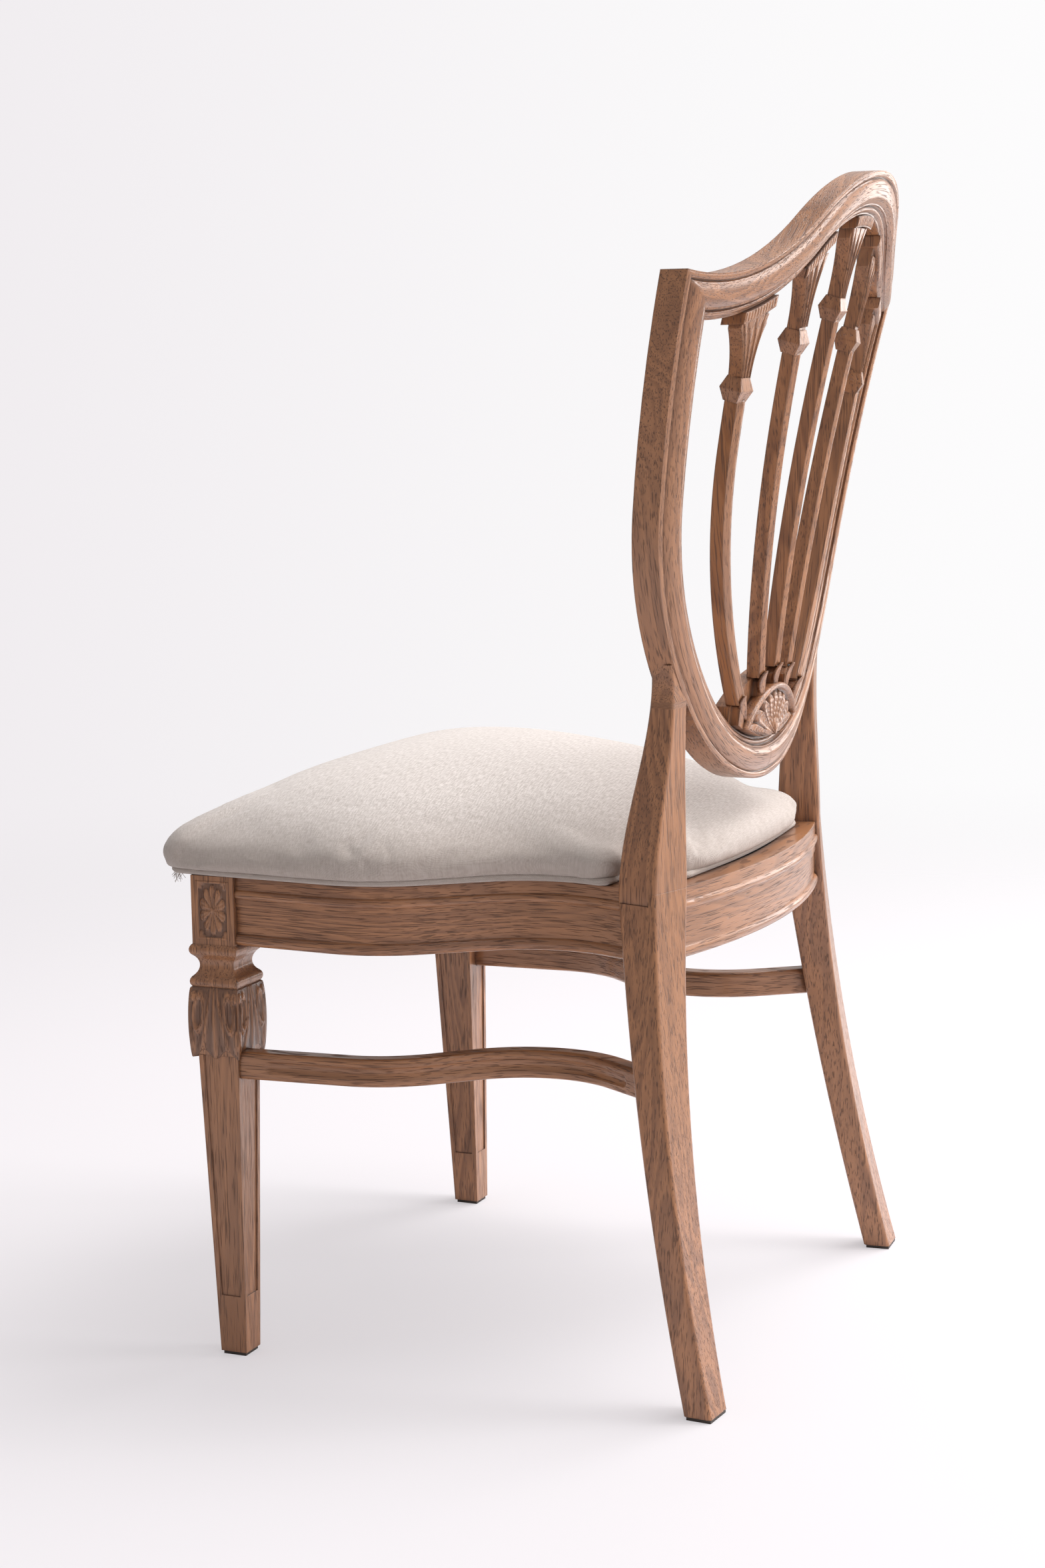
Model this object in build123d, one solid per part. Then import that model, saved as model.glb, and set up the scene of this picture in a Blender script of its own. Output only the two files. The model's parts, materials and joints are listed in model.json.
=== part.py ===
from build123d import *

import os
from math import acos, atan2, cos, degrees, hypot, radians, sin, sqrt, tan

# Shield-back dining chair with a loose seat pad.
# Millimetres and degrees. +Z is up, the sitter faces -Y, +X is the sitter's left, the floor is Z = 0.

# Seat rails
RAIL_TOP = 412.0            # above the floor
RAIL_HEIGHT = 58.0
RAIL_THICKNESS = 24.0
LOWER_BEAD = 10.0           # heights on the face of a rail, from its foot up: bead,
UPPER_FILLET = 7.0          # sunk face, fillet below the upper bead,
UPPER_BEAD = 8.0            # upper bead
TOP_BAND = 11.0             # and a plain band up to the top
BEAD_PROUD = 3.5
FILLET_PROUD = 1.2
BAND_SETBACK = 2.5
TENON_LENGTH = 7.0
TENON_WIDTH = 9.0
TENON_HEIGHT = 24.0
TENON_RISE = 16.0           # middle of a tenon above the underside of its rail
JOINT_FIT = 0.2             # clearance on each side of a tenon, a spigot or a housed end

# Plan line of a side rail's outer face, from the front block back into the rear leg
SIDE_START_X = 247.0
SIDE_START_TURN = 4.0       # outwards from straight back
SIDE_FRONT_RUN = 88.0
SIDE_FRONT_RADIUS = 115.0   # convex bend
SIDE_FRONT_TURN = 40.0
SIDE_MIDDLE_RUN = 55.0
SIDE_REAR_RADIUS = 100.0    # concave bend
SIDE_REAR_TURN = 56.0
SIDE_REAR_RUN = 46.0

# Front and rear rails: bowed arcs between the legs
FRONT_RAIL_FACE_Y = -247.0  # outer face at the middle of the front leg
FRONT_RAIL_BOW = 12.0
REAR_RAIL_FACE_Y = 153.5    # outer face at the middle of the rear leg
REAR_RAIL_BOW = 27.0

# Front legs: a square block, square mouldings, a leaf block and a tapered shaft
FRONT_LEG_X = 228.5         # middle of the block
FRONT_LEG_Y = -232.0
BLOCK_SIDE = 40.0
COLLAR_HEIGHT = 10.0        # each of the two square torus collars
COLLAR_SIDE = 45.0
NECK_HEIGHT = 17.0
NECK_SIDE = 32.0
LEAF_HEIGHT = 57.0
LEAF_SIDE = 43.0
LEAF_BULGE = 1.2
SHAFT_TOP_SIDE = 37.5
SHAFT_FOOT_SIDE = 24.0
SHAFT_TOP_SHIFT_X = 3.2     # middle of the shaft's top from the middle of the block
SHAFT_TOP_SHIFT_Y = 2.3
FOOT_SHIFT_X = 8.0          # middle of the foot from the middle of the block
FOOT_SHIFT_Y = 7.0
PANEL_BORDER = 4.5          # frame around the sunk panels of the shaft
PANEL_SINK = 1.2
PANEL_LOW = 52.0            # the panels end this far above the floor
ROSETTE_FRAME = 5.0         # border around the sunk rosette on the block
ROSETTE_SINK = 1.5
ROSETTE_RADIUS = 12.0
ROSETTE_DOME = 1.2

# Rear legs: swept, tapered, and turned outwards as they rise
REAR_FOOT_X = 240.4
REAR_FOOT_Y = 196.7
REAR_TOP_X = 186.2
REAR_TOP_Y = 135.3
REAR_LEG_SWEEP = 9.2        # the middle bows this far forward of a straight leg
REAR_LEG_SPREAD = 2.2       # and this far outwards
REAR_FOOT_WIDTH = 32.2
REAR_TOP_WIDTH = 44.2
REAR_FOOT_DEPTH = 24.2
REAR_TOP_DEPTH = 37.5
REAR_DEPTH_HOLLOW = 4.6     # the middle is this much thinner than a straight taper
REAR_FOOT_TURN = 4.3
REAR_TOP_TURN = 16.7
ARRIS = 3.0                 # rounding of the long edges
LAP_STEP = 10.0             # the back laps down in front of the leg's tongue by this much
LAP_TONGUE = 6.0

# Stretchers, each between a front and a rear leg
STRETCHER_MIDDLE = 252.5    # height of the middle line at the front leg
STRETCHER_RISE = 0.8        # slope up towards the rear leg, in degrees
STRETCHER_HEIGHT = 23.5
STRETCHER_THICKNESS = 19.0
STRETCHER_ROUND = 4.0
STRETCHER_HOUSING = 8.0     # how deep the front end is let into its leg
STRETCHER_START_X = 248.0   # plan line of the outer face, as for the side rails
STRETCHER_START_TURN = -1.0
STRETCHER_FRONT_RUN = 95.0
STRETCHER_FRONT_RADIUS = 115.0
STRETCHER_FRONT_TURN = 40.0
STRETCHER_MIDDLE_RUN = 35.0
STRETCHER_REAR_RADIUS = 90.0
STRETCHER_REAR_TURN = 75.0
STRETCHER_REAR_RUN = 64.0   # runs on into the rear leg
FLUTE_WIDTH = 11.0
FLUTE_SINK = 2.5
FLUTE_STOP = 30.0           # the flute stops this far from each end

# Shield back: lean, bow in plan, and outline
SHIELD_FOOT = 478.0         # lowest point above the floor
CREST_TOP = 977.0           # highest point
SHIELD_FOOT_Y = 165.5       # rear face at the lowest point
BACK_LEAN = 104.5           # the rear face moves back this far up to the crest
BACK_SWEEP = 14.4           # and bellies forward this far midway
BACK_BOW = 48.0             # the shoulders lie this far in front of the middle
BOW_HALF_WIDTH = 267.0      # half width at which the bow is measured
NOSE_RADIUS = 205.0         # outline from the lowest point to the shoulder: three arcs
NOSE_TURN = 45.0
BELLY_RADIUS = 333.0
BELLY_TURN = 79.5
STILE_RADIUS = 2900.0
CREST_RADIUS = 160.7        # crest: a convex arc, then a hollow one out to the shoulder
CREST_TURN = 39.85
HOLLOW_RADIUS = 199.0
RIM_WIDTH = 35.0
RIM_DEPTH = 22.0
RIM_BORDER = 5.0            # rear of the rim from outside in: border, sunk band, bead, sunk lip
RIM_BAND = 14.0
RIM_BEAD = 8.0
BAND_SINK = 4.0
LIP_SINK = 5.0

# Posts that carry the shield on the rear legs
POST_MIDDLE_HEIGHT = 500.0
POST_MIDDLE_X = 176.3
POST_MIDDLE_Y = 139.5
POST_MIDDLE_WIDTH = 30.0
POST_MIDDLE_DEPTH = 29.0
POST_TURN = 13.4
POST_TOP_HEIGHT = 592.0     # the outer face of the post runs out on the shield here
POST_TOP_WIDTH = 27.0
POST_TOP_DEPTH = 20.0

# Spigots between posts and rear legs
SPIGOT_WIDTH = 14.0
SPIGOT_DEPTH = 11.0
SPIGOT_IN_LEG = 36.0
SPIGOT_IN_POST = 44.0

# Splats: a middle one, an inner pair and an outer pair, fanning out from the base block
SPLAT_WIDTH = 12.0
SPLAT_DEPTH = 11.0
SPLAT_RECESS = -2.5         # rear face of a splat in front of the rim's rear face, at the shield's foot
SPLAT_SETBACK = 10.0        # and this much more at the crest
SPLAT_FIT = 0.2
INNER_KNEE_X = 67.5         # the straight upper length of a splat begins at its knee
INNER_KNEE_HEIGHT = 790.0
INNER_LEAN = 5.0
INNER_RADIUS = 1900.0
OUTER_KNEE_X = 148.0
OUTER_KNEE_HEIGHT = 760.0
OUTER_LEAN = 5.0
OUTER_RADIUS = 437.0
MIDDLE_KNOT_HEIGHT = 868.0
INNER_KNOT_HEIGHT = 842.0
OUTER_KNOT_HEIGHT = 806.0
KNOT_TALL = 20.0            # six-sided knot on each splat
KNOT_WIDE = 19.0
KNOT_DEEP = 20.0
KNOT_END = 13.5             # width of its two ends
CAPITAL_TALL = 50.0         # flared capital above the knot
CAPITAL_WIDE = 36.0
CAPITAL_WAIST = 0.4         # share of its height below the top at which the flare begins to open
CAPITAL_WAIST_FLARE = 0.3   # share of the flare reached there
ABACUS_TALL = 9.0           # block between capital and crest
ABACUS_WIDE = 42.0
ABACUS_PROUD = 4.0

# Base block and fan boss at the foot of the splats
BASE_HALF_WIDTH = 79.0
BASE_RISE = 94.0            # top of the block's middle above the shield's lowest point
BASE_DROP = 26.0            # the ends of the block lie this far below its middle
BASE_DEPTH = 13.0
BASE_RECESS = 6.0
CALYX_WIDTH = 10.0          # pointed leaf on the base block behind the foot of each splat
CALYX_TALL = 26.0
CALYX_POINT = 6.0
CALYX_PROUD = 1.5           # behind the rim's rear face
FAN_HALF_WIDTH = 63.0
FAN_REVEAL = 19.0           # top of the fan below the middle of the base block
FAN_DROP = 32.0             # ends of the fan's arch below its top
FAN_PROUD = 4.0             # rear face of the fan behind the rim's rear face
FAN_FLUTES = 7
FAN_SPREAD = 150.0          # angle that the flutes cover
FAN_FLUTE_RADIUS = 6.0
FAN_FLUTE_DEPTH = 2.2
FAN_KNOB_RADIUS = 12.0

# Seat panel, braces, screws and glides
PANEL_THICKNESS = 8.0
PANEL_DROP = 1.0            # top of the seat panel below the rail top
PANEL_GAP = 1.0
BRACE_HEIGHT = 28.0
BRACE_REACH = 80.0          # length of a brace along each rail
SCREW_RADIUS = 2.0
SCREW_HEAD_RADIUS = 4.0
SCREW_HEAD_HEIGHT = 2.5
SCREW_FIT = 0.15
BRACE_SCREW_LENGTH = 40.0
PANEL_SCREW_LENGTH = 33.0
PANEL_SCREW_INSET = 10.0    # from the long face of the brace
PANEL_SCREW_ASIDE = 8.0     # from the middle of the brace
SPIGOT_SCREW_LENGTH = 24.0
SPIGOT_SCREW_OFFSET = 22.0  # of each spigot screw from the seam
GLIDE_THICKNESS = 3.0
GLIDE_MARGIN = 1.5
GLIDE_STEM_RADIUS = 3.0
GLIDE_STEM_LENGTH = 14.0

# Loose seat pad: board, piping and stuffed pad
PAD_CLEARANCE = 0.3
PAD_OVERHANG = 11.0         # beyond the outer face of the side rails
PAD_FRONT = -282.0          # front edge
PAD_NOTCH_Y = 105.0         # front of the notches that go round the posts
TONGUE_HALF_WIDTH = 154.0   # the tongue lies between the posts
TONGUE_REAR = 153.0
TONGUE_BOW = 13.0
PAD_CORNER = 22.0           # corner roundings in plan
NOTCH_CORNER = 16.0
NOTCH_ROOT = 6.0
TONGUE_CORNER = 22.0
BOARD_THICKNESS = 6.0
BOARD_INSET = 10.5
PIPING_RADIUS = 3.0
PIPING_INSET = 6.0
PIPING_SIDES = 8            # the cord's section
PAD_CENTRE_Y = -95.0        # the crown rises towards this line
PAD_CROWN = 497.0           # above the floor
PAD_SIDE = 8.0              # the widest line lies this far above the underside
PAD_UNDERSIDE = 0.975       # underside as a share of the widest outline
PAD_LAYERS = 3              # bands from the underside to the crown, each drawn through three outlines
PAD_LAST_ANGLE = 84.0       # the quarter of a fuller ellipse ends here, with a small flat top
PAD_FULLNESS = 0.95         # power of cosine and sine; 1 is a plain ellipse
PAD_NOTCH_EASE = 0.8        # the notches fade out by this share towards the crown

# Heights and places worked out from the above
RAIL_FOOT = RAIL_TOP - RAIL_HEIGHT
BASE_MIDDLE_HEIGHT = SHIELD_FOOT + BASE_RISE
BASE_SIDE_HEIGHT = BASE_MIDDLE_HEIGHT - BASE_DROP
FAN_TOP = BASE_MIDDLE_HEIGHT - FAN_REVEAL
FAN_SIDE_HEIGHT = FAN_TOP - FAN_DROP
RAIL_CORE = (BEAD_PROUD + RAIL_THICKNESS) / 2
RAIL_MIDDLE = RAIL_FOOT + RAIL_HEIGHT / 2
TENON_MIDDLE = RAIL_FOOT + TENON_RISE
LEAF_TOP = RAIL_FOOT - 2 * COLLAR_HEIGHT - NECK_HEIGHT
SHAFT_TOP = LEAF_TOP - LEAF_HEIGHT
PANEL_TOP = RAIL_TOP - PANEL_DROP
BRACE_TOP = PANEL_TOP - PANEL_THICKNESS
BRACE_MIDDLE = BRACE_TOP - BRACE_HEIGHT / 2
BOARD_FOOT = RAIL_TOP + PAD_CLEARANCE
PAD_FOOT = BOARD_FOOT + BOARD_THICKNESS + PAD_CLEARANCE
BLOCK_REAR_Y = FRONT_LEG_Y + BLOCK_SIDE / 2
BLOCK_INNER_X = FRONT_LEG_X - BLOCK_SIDE / 2
CUTTER = 700.0              # reach of cutting prisms, past every piece
UP_FROM_BASE = (Align.CENTER, Align.CENTER, Align.MIN)


def mix(start, end, share):
    return start + (end - start) * share


def one_solid(shape):
    """The largest solid of a shape."""
    return max(shape.solids(), key=lambda solid: solid.volume)


def mirrored(shape):
    """The same piece on the sitter's right."""
    return mirror(shape, about=Plane.YZ)


def mirror_face(half):
    """Face from the +X half of an outline and its mirror image."""
    return make_face(half + [mirror(edge, about=Plane.YZ) for edge in half])


def front_to_back(face):
    """A face drawn with X across and Z up, made a prism along Y."""
    return extrude(Plane.XZ * face, amount=CUTTER, both=True)


# Rear face of the back: it leans, bellies forward midway and bows in plan

def back_rise(z):
    return (z - SHIELD_FOOT) / (CREST_TOP - SHIELD_FOOT)


def back_y(x, z):
    rise = back_rise(z)
    middle = SHIELD_FOOT_Y + BACK_LEAN * rise - 4 * BACK_SWEEP * rise * (1 - rise)
    return middle - BACK_BOW * (x / BOW_HALF_WIDTH) ** 2


def back_slope_x(x):
    return -2 * BACK_BOW * x / BOW_HALF_WIDTH ** 2


def back_slope_z(z):
    return (BACK_LEAN - 4 * BACK_SWEEP * (1 - 2 * back_rise(z))) / (CREST_TOP - SHIELD_FOOT)


def bowed_slab(rear_depth, front_depth, setback=0):
    """Solid between two copies of the rear face, at two depths in front of it; a setback grows upwards."""
    reach = BOW_HALF_WIDTH + RIM_WIDTH
    sections = []
    for step in range(4):
        z = mix(SHIELD_FOOT - RIM_WIDTH, CREST_TOP + RIM_WIDTH, step / 3)
        arcs = []
        for depth in (rear_depth, front_depth):
            depth += setback * back_rise(z)
            end_y = back_y(reach, z) - depth
            arcs.append(ThreePointArc((-reach, end_y), (0, back_y(0, z) - depth), (reach, end_y)))
        ends = [Line(arcs[0] @ end, arcs[1] @ end) for end in (0, 1)]
        sections.append(Pos(0, 0, z) * make_face(arcs + ends))
    return loft(sections)


# Shield outline, with X across and Z up

def polar(centre, radius, angle):
    """Point on a circle, with the angle taken from straight down towards +X."""
    return centre[0] + radius * sin(radians(angle)), centre[1] - radius * cos(radians(angle))


def arc(centre, radius, start, end):
    return ThreePointArc(*[polar(centre, radius, angle) for angle in (start, (start + end) / 2, end)])


def angle_from(centre, point):
    return degrees(atan2(point[0] - centre[0], centre[1] - point[1]))


NOSE_CENTRE = (0, SHIELD_FOOT + NOSE_RADIUS)
BELLY_CENTRE = polar(NOSE_CENTRE, NOSE_RADIUS - BELLY_RADIUS, NOSE_TURN)
STILE_CENTRE = polar(BELLY_CENTRE, BELLY_RADIUS - STILE_RADIUS, BELLY_TURN)
CREST_CENTRE = (0, CREST_TOP - CREST_RADIUS)
HOLLOW_CENTRE = polar(CREST_CENTRE, CREST_RADIUS + HOLLOW_RADIUS, 180 - CREST_TURN)


def shoulder(inset):
    """Corner where the stile arc meets the hollow of the crest, both moved inwards."""
    stile_radius = STILE_RADIUS - inset
    across = HOLLOW_CENTRE[0] - STILE_CENTRE[0]
    up = HOLLOW_CENTRE[1] - STILE_CENTRE[1]
    span = hypot(across, up)
    along = (stile_radius ** 2 - (HOLLOW_RADIUS + inset) ** 2 + span ** 2) / (2 * span)
    aside = sqrt(stile_radius ** 2 - along ** 2)
    return (STILE_CENTRE[0] + (along * across + aside * up) / span,
            STILE_CENTRE[1] + (along * up - aside * across) / span)


def shield_prism(inset):
    """The shield's outline moved inwards, as a prism front to back."""
    corner = shoulder(inset)
    half = [
        arc(NOSE_CENTRE, NOSE_RADIUS - inset, 0, NOSE_TURN),
        arc(BELLY_CENTRE, BELLY_RADIUS - inset, NOSE_TURN, BELLY_TURN),
        arc(STILE_CENTRE, STILE_RADIUS - inset, BELLY_TURN, angle_from(STILE_CENTRE, corner)),
        arc(HOLLOW_CENTRE, HOLLOW_RADIUS + inset, angle_from(HOLLOW_CENTRE, corner), -CREST_TURN),
        arc(CREST_CENTRE, CREST_RADIUS - inset, 180 - CREST_TURN, 180),
    ]
    return front_to_back(mirror_face(half))


def belly_x(z):
    """Half width of the shield where the belly arc passes a height."""
    return BELLY_CENTRE[0] + sqrt(BELLY_RADIUS ** 2 - (z - BELLY_CENTRE[1]) ** 2)


def crest_z(x, inset):
    """Height of the crest at a place across, moved inwards."""
    if abs(x) < polar(CREST_CENTRE, CREST_RADIUS - inset, 180 - CREST_TURN)[0]:
        return CREST_CENTRE[1] + sqrt((CREST_RADIUS - inset) ** 2 - x ** 2)
    return HOLLOW_CENTRE[1] - sqrt((HOLLOW_RADIUS + inset) ** 2 - (abs(x) - HOLLOW_CENTRE[0]) ** 2)


# Rear legs and the posts above them, on the +X side

def turned_section(z, x, y, width, depth, turn):
    """Rounded section whose rear face is turned outwards."""
    return Pos(x, y, z) * Rot(0, 0, -turn) * RectangleRounded(width, depth, ARRIS)


def rear_leg_middle(share):
    """Middle of the rear leg at a share of the way from the floor to the rail top."""
    bend = 4 * share * (1 - share)
    return (mix(REAR_FOOT_X, REAR_TOP_X, share) + REAR_LEG_SPREAD * bend,
            mix(REAR_FOOT_Y, REAR_TOP_Y, share) - REAR_LEG_SWEEP * bend)


def rear_leg_depth(share):
    return mix(REAR_FOOT_DEPTH, REAR_TOP_DEPTH, share) - REAR_DEPTH_HOLLOW * 4 * share * (1 - share)


def rear_leg_blank(margin):
    """Rear leg from the glide to the rail top, every side moved out by a margin."""
    sections = []
    for step in range(5):
        share = mix(GLIDE_THICKNESS / RAIL_TOP, 1, step / 4)
        width = mix(REAR_FOOT_WIDTH, REAR_TOP_WIDTH, share)
        sections.append(turned_section(RAIL_TOP * share, *rear_leg_middle(share), width + 2 * margin,
                                       rear_leg_depth(share) + 2 * margin,
                                       mix(REAR_FOOT_TURN, REAR_TOP_TURN, share)))
    return loft(sections)


def leg_top(z):
    """Frame in the middle of the rear leg's top section, at a height."""
    return Pos(REAR_TOP_X, REAR_TOP_Y, z) * Rot(0, 0, -REAR_TOP_TURN)


def lap_space():
    """Space in front of the leg's tongue, over the height of the lap."""
    depth = 2 * REAR_TOP_DEPTH
    rear = REAR_TOP_DEPTH / 2 - LAP_TONGUE
    return leg_top(RAIL_TOP - LAP_STEP / 2) * Pos(0, rear - depth / 2, 0) * Box(
        2 * REAR_TOP_WIDTH, depth, LAP_STEP)


def spigot(margin):
    """Flat bar that joins leg and post across the seam."""
    middle = RAIL_TOP + (SPIGOT_IN_POST - SPIGOT_IN_LEG) / 2
    return leg_top(middle) * Box(SPIGOT_WIDTH + 2 * margin, SPIGOT_DEPTH + 2 * margin,
                                 SPIGOT_IN_POST + SPIGOT_IN_LEG + 2 * margin)


def post_blank():
    """Post from the foot of the lap up into the rim."""
    top_x = belly_x(POST_TOP_HEIGHT) - POST_TOP_WIDTH / 2
    top_y = back_y(top_x, POST_TOP_HEIGHT) - RIM_DEPTH / 2
    return loft([
        turned_section(RAIL_TOP - LAP_STEP, REAR_TOP_X, REAR_TOP_Y, REAR_TOP_WIDTH, REAR_TOP_DEPTH,
                       REAR_TOP_TURN),
        turned_section(RAIL_TOP, REAR_TOP_X, REAR_TOP_Y, REAR_TOP_WIDTH, REAR_TOP_DEPTH, REAR_TOP_TURN),
        turned_section(POST_MIDDLE_HEIGHT, POST_MIDDLE_X, POST_MIDDLE_Y, POST_MIDDLE_WIDTH,
                       POST_MIDDLE_DEPTH, POST_TURN),
        turned_section(POST_TOP_HEIGHT, top_x, top_y, POST_TOP_WIDTH, POST_TOP_DEPTH, POST_TURN),
    ])


def post():
    """Post with its lower end cut to lap in front of the leg's tongue."""
    lap_layer = leg_top(RAIL_TOP - LAP_STEP / 2) * Box(2 * REAR_TOP_WIDTH, 2 * REAR_TOP_DEPTH, LAP_STEP)
    return post_blank() - (lap_layer - lap_space())


# Screws

def screw(length, margin):
    """Screw along +Z with its head at the origin; a margin makes its hole."""
    head = Pos(0, 0, -margin) * Cylinder(SCREW_HEAD_RADIUS + margin, SCREW_HEAD_HEIGHT + 2 * margin,
                                         align=UP_FROM_BASE)
    return head + Cylinder(SCREW_RADIUS + margin, length + margin, align=UP_FROM_BASE)


def spigot_screw_frames():
    """Places of the spigot screws, sunk in the front faces of leg and post."""
    sink = REAR_TOP_DEPTH / 2 - 2 * SCREW_HEAD_HEIGHT
    return [leg_top(RAIL_TOP + side * SPIGOT_SCREW_OFFSET) * Pos(0, -sink, 0) * Rot(-90, 0, 0)
            for side in (-1, 1)]


def screw_bore(length):
    """Hole for a screw and for the driver above its head."""
    driver = Cylinder(SCREW_HEAD_RADIUS + SCREW_FIT, CUTTER, align=(Align.CENTER, Align.CENTER, Align.MAX))
    return screw(length, SCREW_FIT) + driver


# Plan lines with rounded bends

def shifted(points, radii, amount, closed):
    """Corners and radii of a plan line moved to its left, its bends kept concentric."""
    spots = [Vector(*point) for point in points]
    count = len(spots)
    ways = [(spots[(i + 1) % count] - spots[i]).normalized() for i in range(count)]
    lefts = [Vector(-way.Y, way.X) for way in ways]
    moved = []
    bends = []
    for i, spot in enumerate(spots):
        if not closed and i in (0, count - 1):
            moved.append(spot + lefts[min(i, count - 2)] * amount)
            continue
        before, after = lefts[i - 1], lefts[i]
        moved.append(spot + (before + after) * (amount / (1 + before.dot(after))))
        turn = 1 if ways[i - 1].cross(ways[i]).Z > 0 else -1
        bends.append(radii[len(bends)] - turn * amount)
    return moved, bends


def heading(turn):
    """Plan direction, with the turn taken from straight back towards +X."""
    return Vector(sin(radians(turn)), cos(radians(turn)))


def serpentine(start_x, start_turn, runs, radii, turns, lead):
    """Corners of a line that runs back from the front leg, bends inwards and then outwards."""
    start = Vector(start_x, BLOCK_REAR_Y)
    inwards = start_turn - turns[0]
    outwards = inwards + turns[1]
    reaches = [radius * tan(radians(turn) / 2) for radius, turn in zip(radii, turns)]
    first = start + heading(start_turn) * (runs[0] + reaches[0])
    second = first + heading(inwards) * (reaches[0] + runs[1] + reaches[1])
    end = second + heading(outwards) * (reaches[1] + runs[2])
    return [start - heading(start_turn) * lead, first, second, end]


SIDE_RADII = (SIDE_FRONT_RADIUS, SIDE_REAR_RADIUS)
STRETCHER_RADII = (STRETCHER_FRONT_RADIUS, STRETCHER_REAR_RADIUS)


def side_corners(lead):
    runs = (SIDE_FRONT_RUN, SIDE_MIDDLE_RUN, SIDE_REAR_RUN)
    return serpentine(SIDE_START_X, SIDE_START_TURN, runs, SIDE_RADII,
                      (SIDE_FRONT_TURN, SIDE_REAR_TURN), lead)


def stretcher_corners(lead):
    runs = (STRETCHER_FRONT_RUN, STRETCHER_MIDDLE_RUN, STRETCHER_REAR_RUN)
    return serpentine(STRETCHER_START_X, STRETCHER_START_TURN, runs, STRETCHER_RADII,
                      (STRETCHER_FRONT_TURN, STRETCHER_REAR_TURN), lead)


def rounded_line(points, radii, closed=False):
    return Wire(FilletPolyline(*points, radius=radii, close=closed).edges())


def carried(profile, path, z):
    """A profile, X outwards and Y up, swept along a plan line that has the outside on its right."""
    way = path % 0
    plane = Plane(origin=(path @ 0) + Vector(0, 0, z), x_dir=Vector(way.Y, -way.X), z_dir=-way)
    return sweep(plane * profile, path=Pos(0, 0, z) * path)


# Rails

def rail_profile():
    """Sunk face and fillet between two beads, below a plain band; X is 0 at the beads' crowns."""
    face = -BEAD_PROUD
    fillet = face + FILLET_PROUD
    bead_top = RAIL_HEIGHT - TOP_BAND
    bead_foot = bead_top - UPPER_BEAD
    step = bead_foot - UPPER_FILLET
    return make_face([
        Line((-RAIL_THICKNESS, 0), (face, 0)),
        ThreePointArc((face, 0), (0, LOWER_BEAD / 2), (face, LOWER_BEAD)),
        Polyline((face, LOWER_BEAD), (face, step), (fillet, step), (fillet, bead_foot)),
        ThreePointArc((fillet, bead_foot), (0, bead_top - UPPER_BEAD / 2), (-BAND_SETBACK, bead_top)),
        Polyline((-BAND_SETBACK, bead_top), (-BAND_SETBACK, RAIL_HEIGHT),
                 (-RAIL_THICKNESS, RAIL_HEIGHT), (-RAIL_THICKNESS, 0)),
    ])


def plain_profile(margin):
    """The rail's plain envelope, its inner face moved out by a margin."""
    return Pos(-RAIL_THICKNESS / 2, RAIL_HEIGHT / 2) * Rectangle(RAIL_THICKNESS + 2 * margin, RAIL_HEIGHT)


def side_rail_blank(profile):
    path = rounded_line(side_corners(BLOCK_SIDE / 2), SIDE_RADII)
    return carried(profile, path, RAIL_FOOT)


def front_rail_blank(profile):
    path = Wire(ThreePointArc((-FRONT_LEG_X, FRONT_RAIL_FACE_Y), (0, FRONT_RAIL_FACE_Y - FRONT_RAIL_BOW),
                              (FRONT_LEG_X, FRONT_RAIL_FACE_Y)))
    return carried(profile, path, RAIL_FOOT)


def rear_rail_blank(profile):
    path = Wire(ThreePointArc((REAR_TOP_X, REAR_RAIL_FACE_Y), (0, REAR_RAIL_FACE_Y + REAR_RAIL_BOW),
                              (-REAR_TOP_X, REAR_RAIL_FACE_Y)))
    return carried(profile, path, RAIL_FOOT)


def beyond_leg():
    """Everything outside the inner face of the rear leg, where the rear rail stops."""
    return leg_top(RAIL_TOP) * Pos((CUTTER - REAR_TOP_WIDTH) / 2 + ARRIS, 0, 0) * Box(
        CUTTER, CUTTER, 2 * RAIL_TOP)


def tenon(x, y, turn, margin):
    """Tenon block across a joint face, along the Y axis of its turned frame."""
    return Location((x, y, TENON_MIDDLE), (0, 0, turn)) * Box(
        TENON_WIDTH + 2 * margin, 2 * (TENON_LENGTH + margin), TENON_HEIGHT + 2 * margin)


def side_front_tenon(margin):
    core = shifted(side_corners(0), SIDE_RADII, RAIL_CORE, False)[0][0]
    return tenon(core.X, core.Y, -SIDE_START_TURN, margin)


def side_rear_tenon(margin):
    corners = shifted(side_corners(0), SIDE_RADII, RAIL_CORE, False)[0]
    way = (corners[3] - corners[2]).normalized()
    share = TENON_MIDDLE / RAIL_TOP
    leg = Vector(*rear_leg_middle(share))
    spot = corners[2] + way * ((leg - corners[2]).dot(way) - rear_leg_depth(share) / 2)
    return tenon(spot.X, spot.Y, degrees(atan2(-way.X, way.Y)), margin)


def front_rail_tenon(margin):
    return tenon(BLOCK_INNER_X, FRONT_RAIL_FACE_Y + RAIL_CORE, 90, margin)


def rear_rail_tenon(margin):
    face = leg_top(0) * Pos(-REAR_TOP_WIDTH / 2, 0, 0)
    y = REAR_RAIL_FACE_Y - RAIL_CORE
    x = face.position.X + (y - face.position.Y) * tan(radians(REAR_TOP_TURN))
    return tenon(x, y, 90, margin)


# Front legs

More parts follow.
